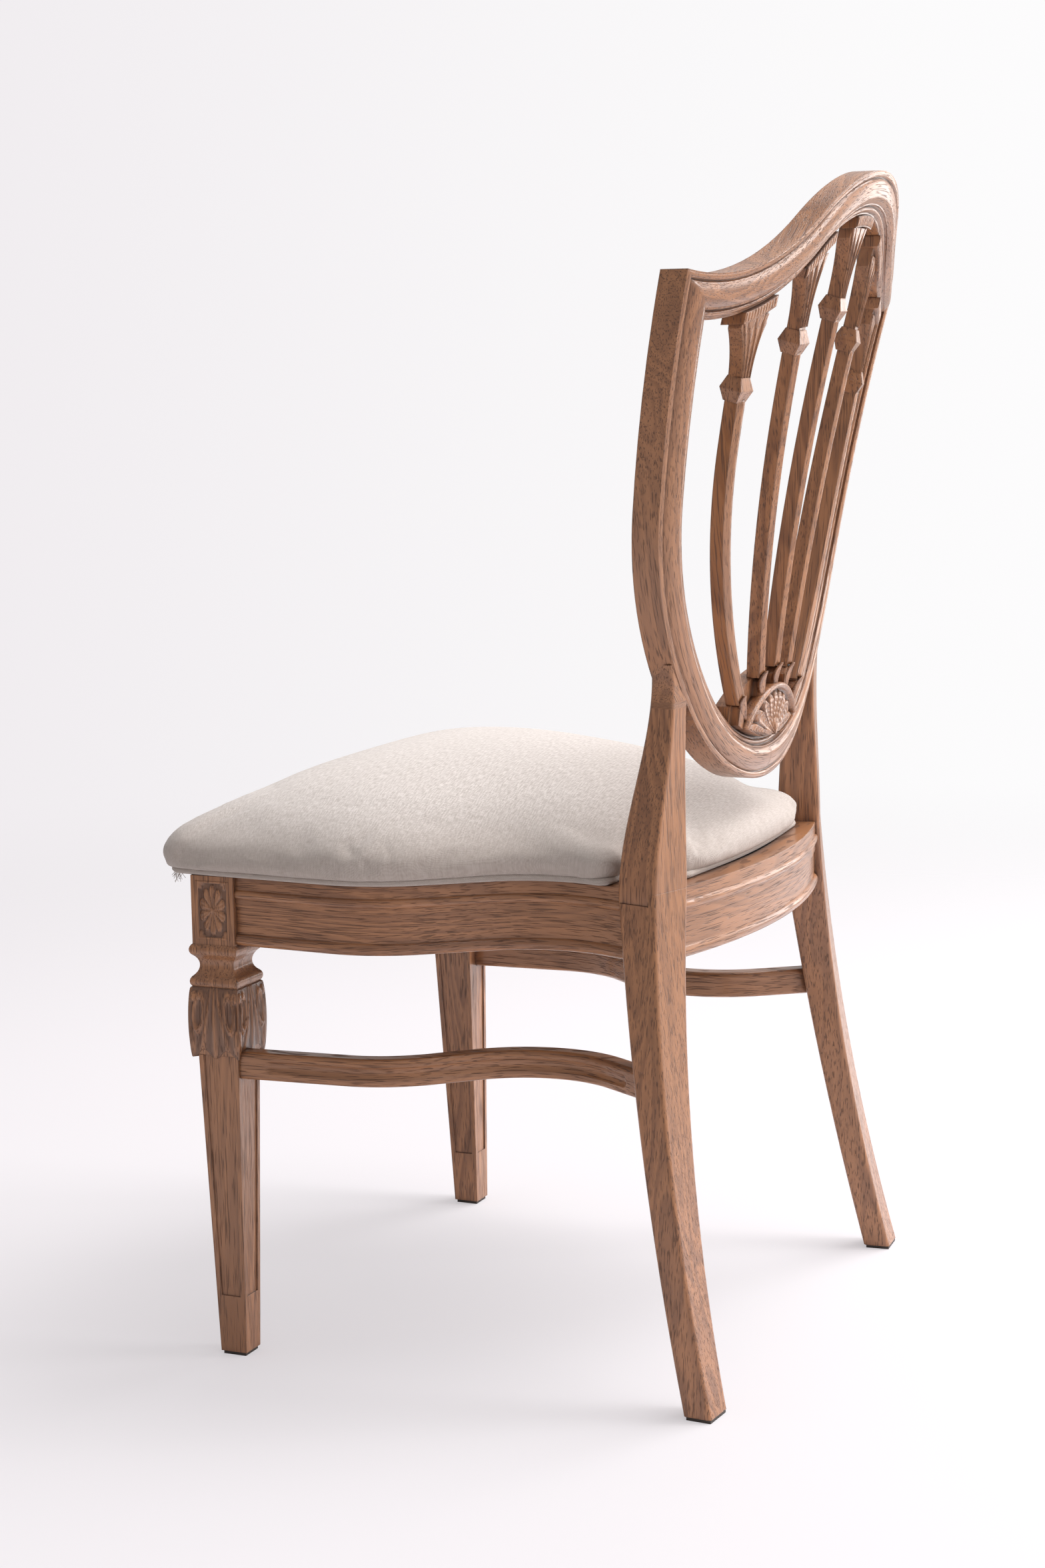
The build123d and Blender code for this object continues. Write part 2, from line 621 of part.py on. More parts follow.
def front_leg_head():
    """Block, two square collars with a hollow neck between them, and the leaf block."""
    upper = RAIL_FOOT - COLLAR_HEIGHT
    lower = LEAF_TOP + COLLAR_HEIGHT
    block, collar, neck, leaf = [side / 2 for side in (BLOCK_SIDE, COLLAR_SIDE, NECK_SIDE, LEAF_SIDE)]
    profile = mirror_face([
        Polyline((0, RAIL_TOP), (block, RAIL_TOP), (block, RAIL_FOOT)),
        ThreePointArc((block, RAIL_FOOT), (collar, RAIL_FOOT - COLLAR_HEIGHT / 2), (block, upper)),
        ThreePointArc((block, upper), (neck, (upper + lower) / 2), (block, lower)),
        ThreePointArc((block, lower), (collar, lower - COLLAR_HEIGHT / 2), (block, LEAF_TOP)),
        Line((block, LEAF_TOP), (leaf, LEAF_TOP)),
        ThreePointArc((leaf, LEAF_TOP), (leaf + LEAF_BULGE, LEAF_TOP - LEAF_HEIGHT / 3), (leaf, SHAFT_TOP)),
        Line((leaf, SHAFT_TOP), (0, SHAFT_TOP)),
    ])
    prism = front_to_back(profile)
    return Pos(FRONT_LEG_X, FRONT_LEG_Y, 0) * (prism & Rot(0, 0, 90) * prism)


def shaft_at(z):
    """Frame in the middle of the tapered shaft at a height, and its side there."""
    share = z / SHAFT_TOP
    x = FRONT_LEG_X + mix(FOOT_SHIFT_X, SHAFT_TOP_SHIFT_X, share)
    y = FRONT_LEG_Y + mix(FOOT_SHIFT_Y, SHAFT_TOP_SHIFT_Y, share)
    return Pos(x, y, z), mix(SHAFT_FOOT_SIDE, SHAFT_TOP_SIDE, share)


def shaft():
    """Tapered square shaft with a sunk panel on each face."""
    ends = [shaft_at(z) for z in (GLIDE_THICKNESS, SHAFT_TOP)]
    body = loft([frame * Rectangle(side, side) for frame, side in ends], ruled=True)
    ends = [shaft_at(z) for z in (PANEL_LOW, SHAFT_TOP)]
    for turn in range(0, 360, 90):
        body -= loft([frame * Rot(0, 0, turn) * Pos(0, side / 2) * Rectangle(
            side - 2 * PANEL_BORDER, 2 * PANEL_SINK) for frame, side in ends], ruled=True)
    return body


def rosette(turn):
    """Sunk field on a face of the block, and the low dome of the flower in it."""
    face = Pos(FRONT_LEG_X, FRONT_LEG_Y, RAIL_MIDDLE) * Rot(0, 0, turn) * Pos(0, -BLOCK_SIDE / 2, 0)
    field = face * Box(BLOCK_SIDE - 2 * ROSETTE_FRAME, 2 * ROSETTE_SINK, RAIL_HEIGHT - 2 * ROSETTE_FRAME)
    ball = (ROSETTE_RADIUS ** 2 + ROSETTE_DOME ** 2) / (2 * ROSETTE_DOME)
    cap = Pos(0, 0, ROSETTE_DOME - ball) * Sphere(ball) & Cylinder(
        2 * ROSETTE_RADIUS, 2 * ROSETTE_DOME, align=UP_FROM_BASE)
    return field, face * Pos(0, ROSETTE_SINK, 0) * Rot(90, 0, 0) * cap


def front_leg(head):
    leg = head + shaft()
    for turn in (0, 90):
        field, flower = rosette(turn)
        leg = leg - field + flower
    return leg


# Stretchers

def stretcher_line(depth, lead):
    points, radii = shifted(stretcher_corners(lead), STRETCHER_RADII, depth, False)
    return rounded_line(points, radii)


def sloped(shape):
    """A level piece turned to rise towards the rear leg."""
    hinge = Pos(0, BLOCK_REAR_Y, STRETCHER_MIDDLE)
    return hinge * Rot(STRETCHER_RISE, 0, 0) * hinge.inverse() * shape


def stretcher_blank(margin):
    """Serpentine stretcher that runs into both legs."""
    profile = RectangleRounded(STRETCHER_THICKNESS + 2 * margin, STRETCHER_HEIGHT + 2 * margin,
                               STRETCHER_ROUND)
    path = stretcher_line(STRETCHER_THICKNESS / 2, STRETCHER_HOUSING)
    return sloped(carried(profile, path, STRETCHER_MIDDLE))


def stretcher_flute():
    """Stopped flute along the outer face, and its two round ends."""
    whole = stretcher_line(0, 0)
    stop = FLUTE_STOP / whole.length
    rear_stop = (FLUTE_STOP + STRETCHER_HOUSING) / whole.length
    radius = (FLUTE_WIDTH ** 2 / 4 + FLUTE_SINK ** 2) / (2 * FLUTE_SINK)
    profile = Pos(radius - FLUTE_SINK, 0) * Circle(radius)
    line = whole.trim(stop, 1 - rear_stop)
    parts = [carried(profile, line, STRETCHER_MIDDLE)]
    for end in (0, 1):
        way = line % end
        out = Vector(way.Y, -way.X) * (radius - FLUTE_SINK)
        parts.append(Pos((line @ end) + out + Vector(0, 0, STRETCHER_MIDDLE)) * Sphere(radius))
    return [sloped(part) for part in parts]


# Splats: 0 is the middle one, 1 an inner one, 2 an outer one, on the +X side

KNEES = ((0, INNER_KNEE_HEIGHT), (INNER_KNEE_X, INNER_KNEE_HEIGHT), (OUTER_KNEE_X, OUTER_KNEE_HEIGHT))
LEANS = (0, INNER_LEAN, OUTER_LEAN)
RADII = (0, INNER_RADIUS, OUTER_RADIUS)
KNOT_HEIGHTS = (MIDDLE_KNOT_HEIGHT, INNER_KNOT_HEIGHT, OUTER_KNOT_HEIGHT)


def splat_x(index, z):
    """Middle line of a splat above its knee."""
    return KNEES[index][0] + (z - KNEES[index][1]) * tan(radians(LEANS[index]))


def splat_strip(index, low, high):
    """Outline of a splat's bar: a leaning straight length above a curved one."""
    knee, lean, radius = KNEES[index], LEANS[index], RADII[index]
    aside = (cos(radians(lean)), -sin(radians(lean)))
    edges = []
    for half in (-SPLAT_WIDTH / 2, SPLAT_WIDTH / 2):
        start = (knee[0] + half * aside[0], knee[1] + half * aside[1])
        rise = high - start[1]
        edges.append(Line((start[0] + rise * tan(radians(lean)), high), start))
        if radius:
            centre = (knee[0] - radius * aside[0], knee[1] - radius * aside[1])
            bend = radius + half
            edges.append(arc(centre, bend, 90 - lean, degrees(acos((centre[1] - low) / bend))))
        else:
            edges.append(Line(start, (start[0], low)))
    ends = [Line(edges[0] @ 0, edges[2] @ 0), Line(edges[1] @ 1, edges[3] @ 1)]
    return make_face(edges + ends)


def capital(index, top):
    """Outline of a capital that flares from the bar up to its top."""
    neck, wide = SPLAT_WIDTH / 2, CAPITAL_WIDE / 2
    half = [
        Line((0, -CAPITAL_TALL), (neck, -CAPITAL_TALL)),
        ThreePointArc((neck, -CAPITAL_TALL),
                      (mix(neck, wide, CAPITAL_WAIST_FLARE), -CAPITAL_WAIST * CAPITAL_TALL), (wide, 0)),
        Polyline((wide, 0), (wide, CAPITAL_WIDE), (0, CAPITAL_WIDE)),
    ]
    return Pos(splat_x(index, top), top) * Rot(0, 0, -LEANS[index]) * mirror_face(half)


def knot(index):
    """Six-sided knot round a splat, swelling towards its middle."""
    z = KNOT_HEIGHTS[index]
    x = splat_x(index, z)
    along = Vector(tan(radians(LEANS[index])), back_slope_z(z), 1)
    depth = SPLAT_RECESS + SPLAT_SETBACK * back_rise(z) + SPLAT_DEPTH / 2
    middle = Vector(x, back_y(x, z) - depth, z)
    frame = Plane(origin=middle, x_dir=Vector(1, back_slope_x(x), 0), z_dir=along)
    end = (KNOT_END, KNOT_END + SPLAT_DEPTH - SPLAT_WIDTH)
    sizes = (end, (KNOT_WIDE, KNOT_DEEP), end)
    return loft([frame.offset((step - 1) * KNOT_TALL / 2) * Rectangle(*size)
                 for step, size in enumerate(sizes)], ruled=True)


def splat(index, opening, base, bar_slab, abacus_slab):
    """Curved bar with its knot, flared capital and abacus, between base block and crest."""
    x = splat_x(index, KNOT_HEIGHTS[index])
    top = crest_z(x, RIM_WIDTH)
    bar = front_to_back(splat_strip(index, SHIELD_FOOT + RIM_WIDTH, CREST_TOP))
    flare = front_to_back(capital(index, top - 2 * ABACUS_TALL))
    body = (bar + flare) & bar_slab & opening
    column = Pos(splat_x(index, top), 0, top) * Box(ABACUS_WIDE, CUTTER, ABACUS_WIDE)
    abacus = (opening - Pos(0, 0, -ABACUS_TALL) * opening) & column & abacus_slab
    return one_solid(one_solid(body - base) + abacus + knot(index))


# Base block and fan boss

def arch(half, side, middle, low):
    """Prism below an arch."""
    top = ThreePointArc((-half, side), (0, middle), (half, side))
    return front_to_back(make_face([top, Polyline((half, side), (half, low), (-half, low), (-half, side))]))


def calyx_places():
    """Middles of the splats where they meet the top of the base block, on both sides."""
    places = [(0, BASE_MIDDLE_HEIGHT)]
    for index in (1, 2):
        radius, lean = RADII[index], radians(LEANS[index])
        drop = KNEES[index][1] + radius * sin(lean) - BASE_SIDE_HEIGHT
        x = KNEES[index][0] - radius * cos(lean) + sqrt(radius ** 2 - drop ** 2)
        z = mix(BASE_MIDDLE_HEIGHT, BASE_SIDE_HEIGHT, (x / BASE_HALF_WIDTH) ** 2)
        places += [(x, z), (-x, z)]
    return places


def calyx(x, z):
    """Pointed leaf that ends at the top of the base block."""
    half = CALYX_WIDTH / 2
    outline = Polyline((-half, -CALYX_TALL), (half, -CALYX_TALL), (half, -CALYX_POINT), (0, 0),
                       (-half, -CALYX_POINT), close=True)
    return front_to_back(Pos(x, z) * make_face(outline))


def fan_flutes():
    """Flutes that spread over the fan from its knob."""
    z = SHIELD_FOOT + RIM_WIDTH
    rear = Vector(0, 1, -back_slope_z(z))
    face = Plane(origin=(0, back_y(0, z) + FAN_PROUD, z), x_dir=(1, 0, 0), z_dir=rear)
    flute = Pos(0, FAN_KNOB_RADIUS, FAN_FLUTE_RADIUS - FAN_FLUTE_DEPTH) * Rot(-90, 0, 0) * Cylinder(
        FAN_FLUTE_RADIUS, 2 * FAN_HALF_WIDTH, align=UP_FROM_BASE)
    angles = [FAN_SPREAD * (step / (FAN_FLUTES - 1) - 0.5) for step in range(FAN_FLUTES)]
    return [face.location * Rot(0, 0, angle + 180) * flute for angle in angles]


# Seat panel and braces

def seat_frame_envelope(margin):
    """Rails and legs of both sides as plain solids, grown by a margin."""
    profile = plain_profile(margin)
    block = Pos(FRONT_LEG_X, FRONT_LEG_Y, RAIL_MIDDLE) * Box(
        BLOCK_SIDE + 2 * margin, BLOCK_SIDE + 2 * margin, RAIL_HEIGHT)
    right = side_rail_blank(profile) + block + rear_leg_blank(margin) + post_blank()
    return right + mirrored(right) + front_rail_blank(profile) + rear_rail_blank(profile)


def inside_plate(low, height):
    """Plate that reaches the middles of all rails."""
    side = shifted(side_corners(0), SIDE_RADII, RAIL_THICKNESS / 2, False)
    front_y = FRONT_RAIL_FACE_Y + RAIL_THICKNESS / 2
    rear_y = REAR_RAIL_FACE_Y - RAIL_THICKNESS / 2
    path = rounded_line(*side)
    first, last = path @ 0, path @ 1
    half = path.edges() + [
        Polyline((0, front_y), (first.X, front_y), first),
        Polyline(last, (last.X, rear_y), (0, rear_y + REAR_RAIL_BOW)),
    ]
    return Pos(0, 0, low) * extrude(mirror_face(half), amount=height)


CORNERS = ((FRONT_LEG_X, FRONT_LEG_Y, 1), (REAR_TOP_X, REAR_TOP_Y, -1))


def corner_wedge(x, y, back):
    """Three-cornered block from the middle of a leg along both rails."""
    outline = make_face(Polyline((x, y), (x - BRACE_REACH, y), (x, y + back * BRACE_REACH), close=True))
    return Pos(0, 0, BRACE_TOP - BRACE_HEIGHT) * extrude(outline, amount=BRACE_HEIGHT)


def brace_screw_frame(x, y, back):
    """Middle of a brace's long face, facing the leg."""
    half = BRACE_REACH / 2
    middle = (x - half, y + back * half, BRACE_MIDDLE)
    return Plane(origin=middle, x_dir=(0, 0, 1), z_dir=(1, -back, 0)).location


def panel_screw_frame(x, y, back):
    """Place under a brace, beside its other screw, facing up."""
    slant = sqrt(0.5)
    half = BRACE_REACH / 2
    across = (PANEL_SCREW_INSET - PANEL_SCREW_ASIDE) * slant
    along = (PANEL_SCREW_INSET + PANEL_SCREW_ASIDE) * slant
    return Pos(x - half + across, y + back * (half - along), BRACE_TOP - BRACE_HEIGHT)


def seat_pieces(frame):
    """Seat panel, corner braces and their screws, with the screw holes cut in the legs."""
    panel = inside_plate(BRACE_TOP, PANEL_THICKNESS) - seat_frame_envelope(PANEL_GAP)
    panel = one_solid(panel)
    envelope = seat_frame_envelope(0)
    pieces = {}
    brace_screws = []
    panel_screws = []
    for name, corner in zip(("front", "rear"), CORNERS):
        place = brace_screw_frame(*corner)
        riser = panel_screw_frame(*corner)
        hole = place * screw(BRACE_SCREW_LENGTH, SCREW_FIT)
        riser_hole = riser * screw(PANEL_SCREW_LENGTH, SCREW_FIT)
        brace = one_solid(one_solid(corner_wedge(*corner) - envelope) - hole - riser_hole)
        pieces["corner_brace_" + name + "_left"] = brace
        pieces["corner_brace_" + name + "_right"] = mirrored(brace)
        frame[name + "_leg"] = frame[name + "_leg"] - hole
        frame["side_rail"] = frame["side_rail"] - hole
        panel = panel - riser_hole - mirrored(riser_hole)
        brace_screws.append(place * screw(BRACE_SCREW_LENGTH, 0))
        panel_screws.append(riser * screw(PANEL_SCREW_LENGTH, 0))
    pieces["seat_panel"] = panel
    pieces["brace_screws"] = screw_group(brace_screws)
    pieces["panel_screws"] = screw_group(panel_screws)
    return pieces


def screw_group(screws):
    """Like screws on both sides, kept together."""
    pairs = [(shape, mirrored(shape)) for shape in screws]
    return Compound([one_solid(shape) for pair in pairs for shape in pair])


# Loose seat pad

def pad_outline(inset, ease=0):
    """Plan outline of the pad, moved inwards, as a closed line; the notches fade out with the ease."""
    side = shifted(side_corners(0), SIDE_RADII, -PAD_OVERHANG, False)
    start, first, second, end = side[0]
    front = start + (first - start) * ((PAD_FRONT - start.Y) / (first.Y - start.Y))
    notch = second + (end - second) * ((PAD_NOTCH_Y - second.Y) / (end.Y - second.Y))
    root = Vector(TONGUE_HALF_WIDTH, PAD_NOTCH_Y)
    tongue = Vector(TONGUE_HALF_WIDTH, TONGUE_REAR)
    right = [front, first, second, notch, mix(root, (notch + tongue) * 0.5, ease), tongue]
    bends = [PAD_CORNER] + side[1] + [NOTCH_CORNER, NOTCH_ROOT, TONGUE_CORNER]
    rear_turn = atan2(TONGUE_BOW, TONGUE_HALF_WIDTH)
    rear = Vector(0, TONGUE_REAR + TONGUE_BOW)
    points = right + [rear] + [Vector(-spot.X, spot.Y) for spot in reversed(right)]
    radii = bends + [TONGUE_HALF_WIDTH / 2 / tan(rear_turn)] + bends[::-1]
    return rounded_line(*shifted(points, radii, inset, True), closed=True)


def pad():
    """Stuffed pad: drawn in below its widest line, rolled over at the edge and crowned."""
    widest = PAD_FOOT + PAD_SIDE
    last = 2 * PAD_LAYERS - 1
    steps = [(PAD_UNDERSIDE, 0, PAD_FOOT)]
    for step in range(last + 1):
        angle = radians(PAD_LAST_ANGLE * step / last)
        rise = sin(angle) ** PAD_FULLNESS
        steps.append((cos(angle) ** PAD_FULLNESS, PAD_NOTCH_EASE * rise, mix(widest, PAD_CROWN, rise)))
    sections = []
    for share, ease, z in steps:
        outline = make_face(pad_outline(0, ease).edges())
        sections.append(Pos(0, 0, z) * scale(outline, by=share, about=(0, PAD_CENTRE_Y, 0)))
    bands = [loft(sections[2 * layer:2 * layer + 3]) for layer in range(PAD_LAYERS)]
    return bands[0].fuse(*bands[1:])


def padded_pieces():
    plan = make_face(pad_outline(BOARD_INSET).edges())
    board = Pos(0, 0, BOARD_FOOT) * extrude(plan, amount=BOARD_THICKNESS)
    cord = RegularPolygon(PIPING_RADIUS, PIPING_SIDES, major_radius=False)
    piping = carried(cord, pad_outline(PIPING_INSET), BOARD_FOOT + PIPING_RADIUS)
    return {"cushion_board": board, "cushion_piping": piping, "seat_cushion": pad()}


# Glides

def glide(frame, width, depth, margin):
    """Pad under a foot with a stem pressed into the leg; a margin makes the stem's hole."""
    sole = Box(width - 2 * GLIDE_MARGIN, depth - 2 * GLIDE_MARGIN, GLIDE_THICKNESS, align=UP_FROM_BASE)
    stem = Cylinder(GLIDE_STEM_RADIUS + margin, GLIDE_THICKNESS + GLIDE_STEM_LENGTH + margin,
                    align=UP_FROM_BASE)
    return frame * (sole + stem)


def front_glide(margin):
    return glide(shaft_at(0)[0], SHAFT_FOOT_SIDE, SHAFT_FOOT_SIDE, margin)


def rear_glide(margin):
    frame = Pos(*rear_leg_middle(0), 0) * Rot(0, 0, -REAR_FOOT_TURN)
    return glide(frame, REAR_FOOT_WIDTH, REAR_FOOT_DEPTH, margin)


# Sub-assemblies

def back_pieces():
    """Shield with its posts, splats, base block and fan."""
    rim = shield_prism(0) - shield_prism(RIM_WIDTH)
    frame = rim & bowed_slab(0, RIM_DEPTH)
    bead_start = RIM_BORDER + RIM_BAND
    band = shield_prism(RIM_BORDER) - shield_prism(bead_start)
    frame -= band & bowed_slab(-RIM_DEPTH, BAND_SINK)
    lip = shield_prism(bead_start + RIM_BEAD)
    frame -= lip & bowed_slab(-RIM_DEPTH, LIP_SINK)
    holes = spigot(JOINT_FIT)
    upper_screw = spigot_screw_frames()[1] * screw_bore(SPIGOT_SCREW_LENGTH)
    support = post() - holes - upper_screw
    frame = frame + support + mirrored(support)

    opening = shield_prism(RIM_WIDTH + SPLAT_FIT)
    base_arch = arch(BASE_HALF_WIDTH, BASE_SIDE_HEIGHT, BASE_MIDDLE_HEIGHT, SHIELD_FOOT)
    base = opening & base_arch & bowed_slab(BASE_RECESS, BASE_RECESS + BASE_DEPTH)
    leaf_slab = bowed_slab(-CALYX_PROUD, BASE_RECESS + BASE_DEPTH / 2)
    fan_arch = arch(FAN_HALF_WIDTH, FAN_SIDE_HEIGHT, FAN_TOP, SHIELD_FOOT)
    for x, z in calyx_places():
        base += (calyx(x, z) & leaf_slab & opening) - Pos(0, 0, SPLAT_FIT) * fan_arch
    fan = opening & fan_arch & bowed_slab(-FAN_PROUD, BASE_RECESS - SPLAT_FIT)
    for flute in fan_flutes():
        fan -= flute
    pieces = {"back_frame": frame, "splat_base": base, "fan_boss": fan}

    rest = Pos(0, 0, SPLAT_FIT) * base_arch
    splat_front = SPLAT_RECESS + SPLAT_DEPTH
    bar_slab = bowed_slab(SPLAT_RECESS, splat_front, SPLAT_SETBACK)
    abacus_slab = bowed_slab(SPLAT_RECESS - ABACUS_PROUD, splat_front + ABACUS_PROUD, SPLAT_SETBACK)
    shapes = [splat(index, opening, rest, bar_slab, abacus_slab) for index in range(3)]
    pieces["splat_middle"] = shapes[0]
    for name, shape in (("inner", shapes[1]), ("outer", shapes[2])):
        pieces["splat_" + name + "_left"] = shape
        pieces["splat_" + name + "_right"] = mirrored(shape)
    return pieces


def frame_pieces():
    """Legs, rails and stretchers with their joints cut; side pieces are those of the +X side."""
    front_head = front_leg_head()
    rear_blank = rear_leg_blank(0)
    stretcher = stretcher_blank(0)
    for flute in stretcher_flute():
        stretcher -= flute
    stretcher = one_solid(stretcher)
    housing = stretcher_blank(JOINT_FIT)

    rear_ends = rear_blank + post_blank()
    side = one_solid(side_rail_blank(rail_profile()) - front_head - rear_ends)
    side = side + side_front_tenon(0) + side_rear_tenon(0)
    front = one_solid(front_rail_blank(rail_profile()) - front_head - mirrored(front_head))
    front = front + front_rail_tenon(0) + mirrored(front_rail_tenon(0))
    rear_ends += beyond_leg()
    rear = one_solid(rear_rail_blank(rail_profile()) - rear_ends - mirrored(rear_ends))
    rear = rear + rear_rail_tenon(0) + mirrored(rear_rail_tenon(0))

    front_blank = front_leg(front_head) - side_front_tenon(JOINT_FIT) - front_rail_tenon(JOINT_FIT)
    front_blank = front_blank - housing - front_glide(JOINT_FIT)
    rear_blank = rear_blank - side_rear_tenon(JOINT_FIT) - rear_rail_tenon(JOINT_FIT)
    rear_blank = rear_blank - housing - rear_glide(JOINT_FIT)
    lower_screw = spigot_screw_frames()[0] * screw_bore(SPIGOT_SCREW_LENGTH)
    rear_blank = rear_blank - spigot(JOINT_FIT) - lower_screw - lap_space()
    return {"front_leg": one_solid(front_blank), "rear_leg": one_solid(rear_blank), "side_rail": side,
            "side_stretcher": stretcher, "front_rail": front, "rear_rail": rear}


def spigot_pieces():
    """A spigot with its two screws let in."""
    places = spigot_screw_frames()
    bar = spigot(0)
    for place in places:
        bar -= place * screw(SPIGOT_SCREW_LENGTH, SCREW_FIT)
    return bar, screw_group([place * screw(SPIGOT_SCREW_LENGTH, 0) for place in places])


def main():
    os.makedirs("parts", exist_ok=True)
    frame = frame_pieces()
    pieces = seat_pieces(frame)
    pieces.update(back_pieces())
    pieces.update(padded_pieces())
    for name in ("front_rail", "rear_rail"):
        pieces[name] = frame.pop(name)
    frame["front_glide"] = front_glide(0)
    frame["rear_glide"] = rear_glide(0)
    frame["post_spigot"], pieces["spigot_screws"] = spigot_pieces()
    for name, piece in frame.items():
        pieces[name + "_left"] = piece
        pieces[name + "_right"] = mirrored(piece)

    # The origin lies on the floor under the middle of the whole chair
    boxes = [piece.bounding_box() for piece in pieces.values()]
    middle = (min(box.min.Y for box in boxes) + max(box.max.Y for box in boxes)) / 2
    for name, piece in pieces.items():
        export_step(Pos(0, -middle, 0) * piece, os.path.join("parts", name + ".step"))


main()
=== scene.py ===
"""Looks of a shield-back dining chair: wood-grain resin, carved ornaments and a loose linen seat pad."""

import json
from math import cos, pi, radians, sin, tau

import bmesh
import bpy
import numpy as np
from bpy.props import FloatProperty, FloatVectorProperty, IntProperty, PointerProperty
from bpy.types import Operator, Panel, PropertyGroup
from mathutils import Matrix, Vector

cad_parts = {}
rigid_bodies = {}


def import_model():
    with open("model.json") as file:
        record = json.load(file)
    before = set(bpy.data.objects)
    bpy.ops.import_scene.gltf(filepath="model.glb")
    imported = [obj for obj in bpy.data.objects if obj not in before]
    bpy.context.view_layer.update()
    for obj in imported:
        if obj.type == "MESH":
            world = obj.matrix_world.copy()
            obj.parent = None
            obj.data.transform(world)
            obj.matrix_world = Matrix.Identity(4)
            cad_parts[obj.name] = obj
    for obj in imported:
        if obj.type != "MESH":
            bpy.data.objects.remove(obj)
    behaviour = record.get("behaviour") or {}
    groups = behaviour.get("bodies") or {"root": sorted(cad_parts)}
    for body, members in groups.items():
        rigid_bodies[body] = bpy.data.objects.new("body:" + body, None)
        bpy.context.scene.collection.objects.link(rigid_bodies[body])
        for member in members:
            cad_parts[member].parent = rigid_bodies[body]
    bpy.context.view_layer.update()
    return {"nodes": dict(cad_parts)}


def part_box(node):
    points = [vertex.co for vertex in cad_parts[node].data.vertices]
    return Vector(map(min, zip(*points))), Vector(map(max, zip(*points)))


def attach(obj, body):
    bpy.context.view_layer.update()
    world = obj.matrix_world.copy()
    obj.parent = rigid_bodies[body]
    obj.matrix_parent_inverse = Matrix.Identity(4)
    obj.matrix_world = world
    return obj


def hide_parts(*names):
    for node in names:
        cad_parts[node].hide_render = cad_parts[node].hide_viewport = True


bl_info = {
    "name": "Shield-back chair",
    "version": (1, 0, 0),
    "blender": (4, 5, 0),
    "location": "View3D > Sidebar > Chair",
    "description": "Dresses the frame of a shield-back dining chair and sets it on a pale stage",
    "category": "Object",
}

bpy.data.batch_remove(list(bpy.data.objects))
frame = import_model()
MM = 0.001

# Places on the frame that the ornaments sit on, in metres
LEAF_HALF = 22.7 * MM           # widest half of the leaf block of a front leg
BLOCK_HALF = 20.0 * MM          # half of the square block above it
BLOCK_MIDDLE_Z = 383.0 * MM
FIELD_SINK = 1.5 * MM           # sunk field of the rosette: depth and half sizes
FIELD_HALF_WIDTH = 15.0 * MM
FIELD_HALF_HEIGHT = 24.0 * MM
LEAF_BULGE = 1.2 * MM
LEAF_FOOT = 260.0 * MM
LEAF_TOP = 317.0 * MM
RAIL_TOP = 412.0 * MM
SHIELD_FOOT = 478.0 * MM        # shield: lowest and highest point, lean, belly and bow of its rear face
SHIELD_TOP = 977.0 * MM
SHIELD_LEAN = 104.5 * MM
SHIELD_BELLY = 14.4 * MM
SHIELD_BOW = 48.0 * MM
SHIELD_BOW_HALF = 267.0 * MM
SHIELD_MIDDLE = 735.0 * MM      # height about which the rim's grain turns
NOSE_RADIUS = 205.0 * MM        # outline of the shield from its lowest point to the crest
NOSE_TURN = radians(45.0)
BELLY_RADIUS = 333.0 * MM
BELLY_TURN = radians(79.5)
STILE_RADIUS = 2900.0 * MM
HOLLOW_RADIUS = 199.0 * MM
CREST_RADIUS = 160.7 * MM
CREST_TURN = radians(39.85)
RIM_WIDTH = 35.0 * MM
RIM_SUNK = -6.0 * MM            # back of the rim's moulding
RIM_GLAZE_AND_SHADE = 7.0 * MM            # its painted shade and glaze are full this far below the rim's rear face
SPLAT_PROUD = 2.5 * MM          # rear of the splats: behind the rim's rear face at the shield's foot,
SPLAT_SETBACK = 10.0 * MM       # and this much further forward at the crest
SPLAT_WIDTH = 12.0 * MM
SPLAT_BENDS = (                 # middle, inner and outer: place of the knee, lean above it, radius below it
    (0.0, 790.0 * MM, 0.0, 0.0),
    (67.5 * MM, 790.0 * MM, radians(5.0), 1900.0 * MM),
    (148.0 * MM, 760.0 * MM, radians(5.0), 437.0 * MM),
)
OUTER = 2
SPLATS = (                      # name, place in the lists of sizes, and side: 1 on the sitter's left
    ("middle", 0, 1),
    ("inner_left", 1, 1),
    ("inner_right", 1, -1),
    ("outer_left", OUTER, 1),
    ("outer_right", OUTER, -1),
)
KNOT_TALL = 20.0 * MM
KNOT_HEIGHTS = (868.0 * MM, 842.0 * MM, 806.0 * MM)
CAPITAL_TALL = 50.0 * MM
ABACUS_TALL = 9.0 * MM
ABACUS_WIDE = 42.0 * MM
ABACUS_PROUD = 4.0 * MM
LET_IN = 1.0 * MM               # backs of the splats' carvings, below the face that they sit on
FAN_HALF_WIDTH = 68.0 * MM
FAN_SIDE = 523.0 * MM
FAN_TOP = 558.0 * MM
FAN_REST = 5.9 * MM             # the fan rests on the base block, this far in front of the rim's rear face
BASE_HALF_WIDTH = 79.0 * MM     # arched block below the splats: half width, height of its sides and its top
BASE_SIDE = 546.0 * MM
BASE_TOP = 572.0 * MM
CALYX_PROUD = 1.5 * MM          # leaves on that block, behind the rim's rear face
CALYX_HALF = 6.0 * MM
CALYX_TALL = 23.0 * MM
CALYX_OVER = 3.0 * MM           # their tips reach this far over the splats
CALYX_THICK = 2.2 * MM
POST_TOP = 559.0 * MM           # the back is a post below the one and outside the other
POST_INNER = 152.0 * MM
PIPING_SHIFT = 1.0 * MM         # piping's middle line outside the edge of the cushion's board
SEWN_HEIGHT = 3.0 * MM          # heights above the pad's seam: the sewn edge,
CROWN_FOOT = 14.0 * MM          # the foot of the crown and how much higher it is full,
CROWN_RISE = 30.0 * MM
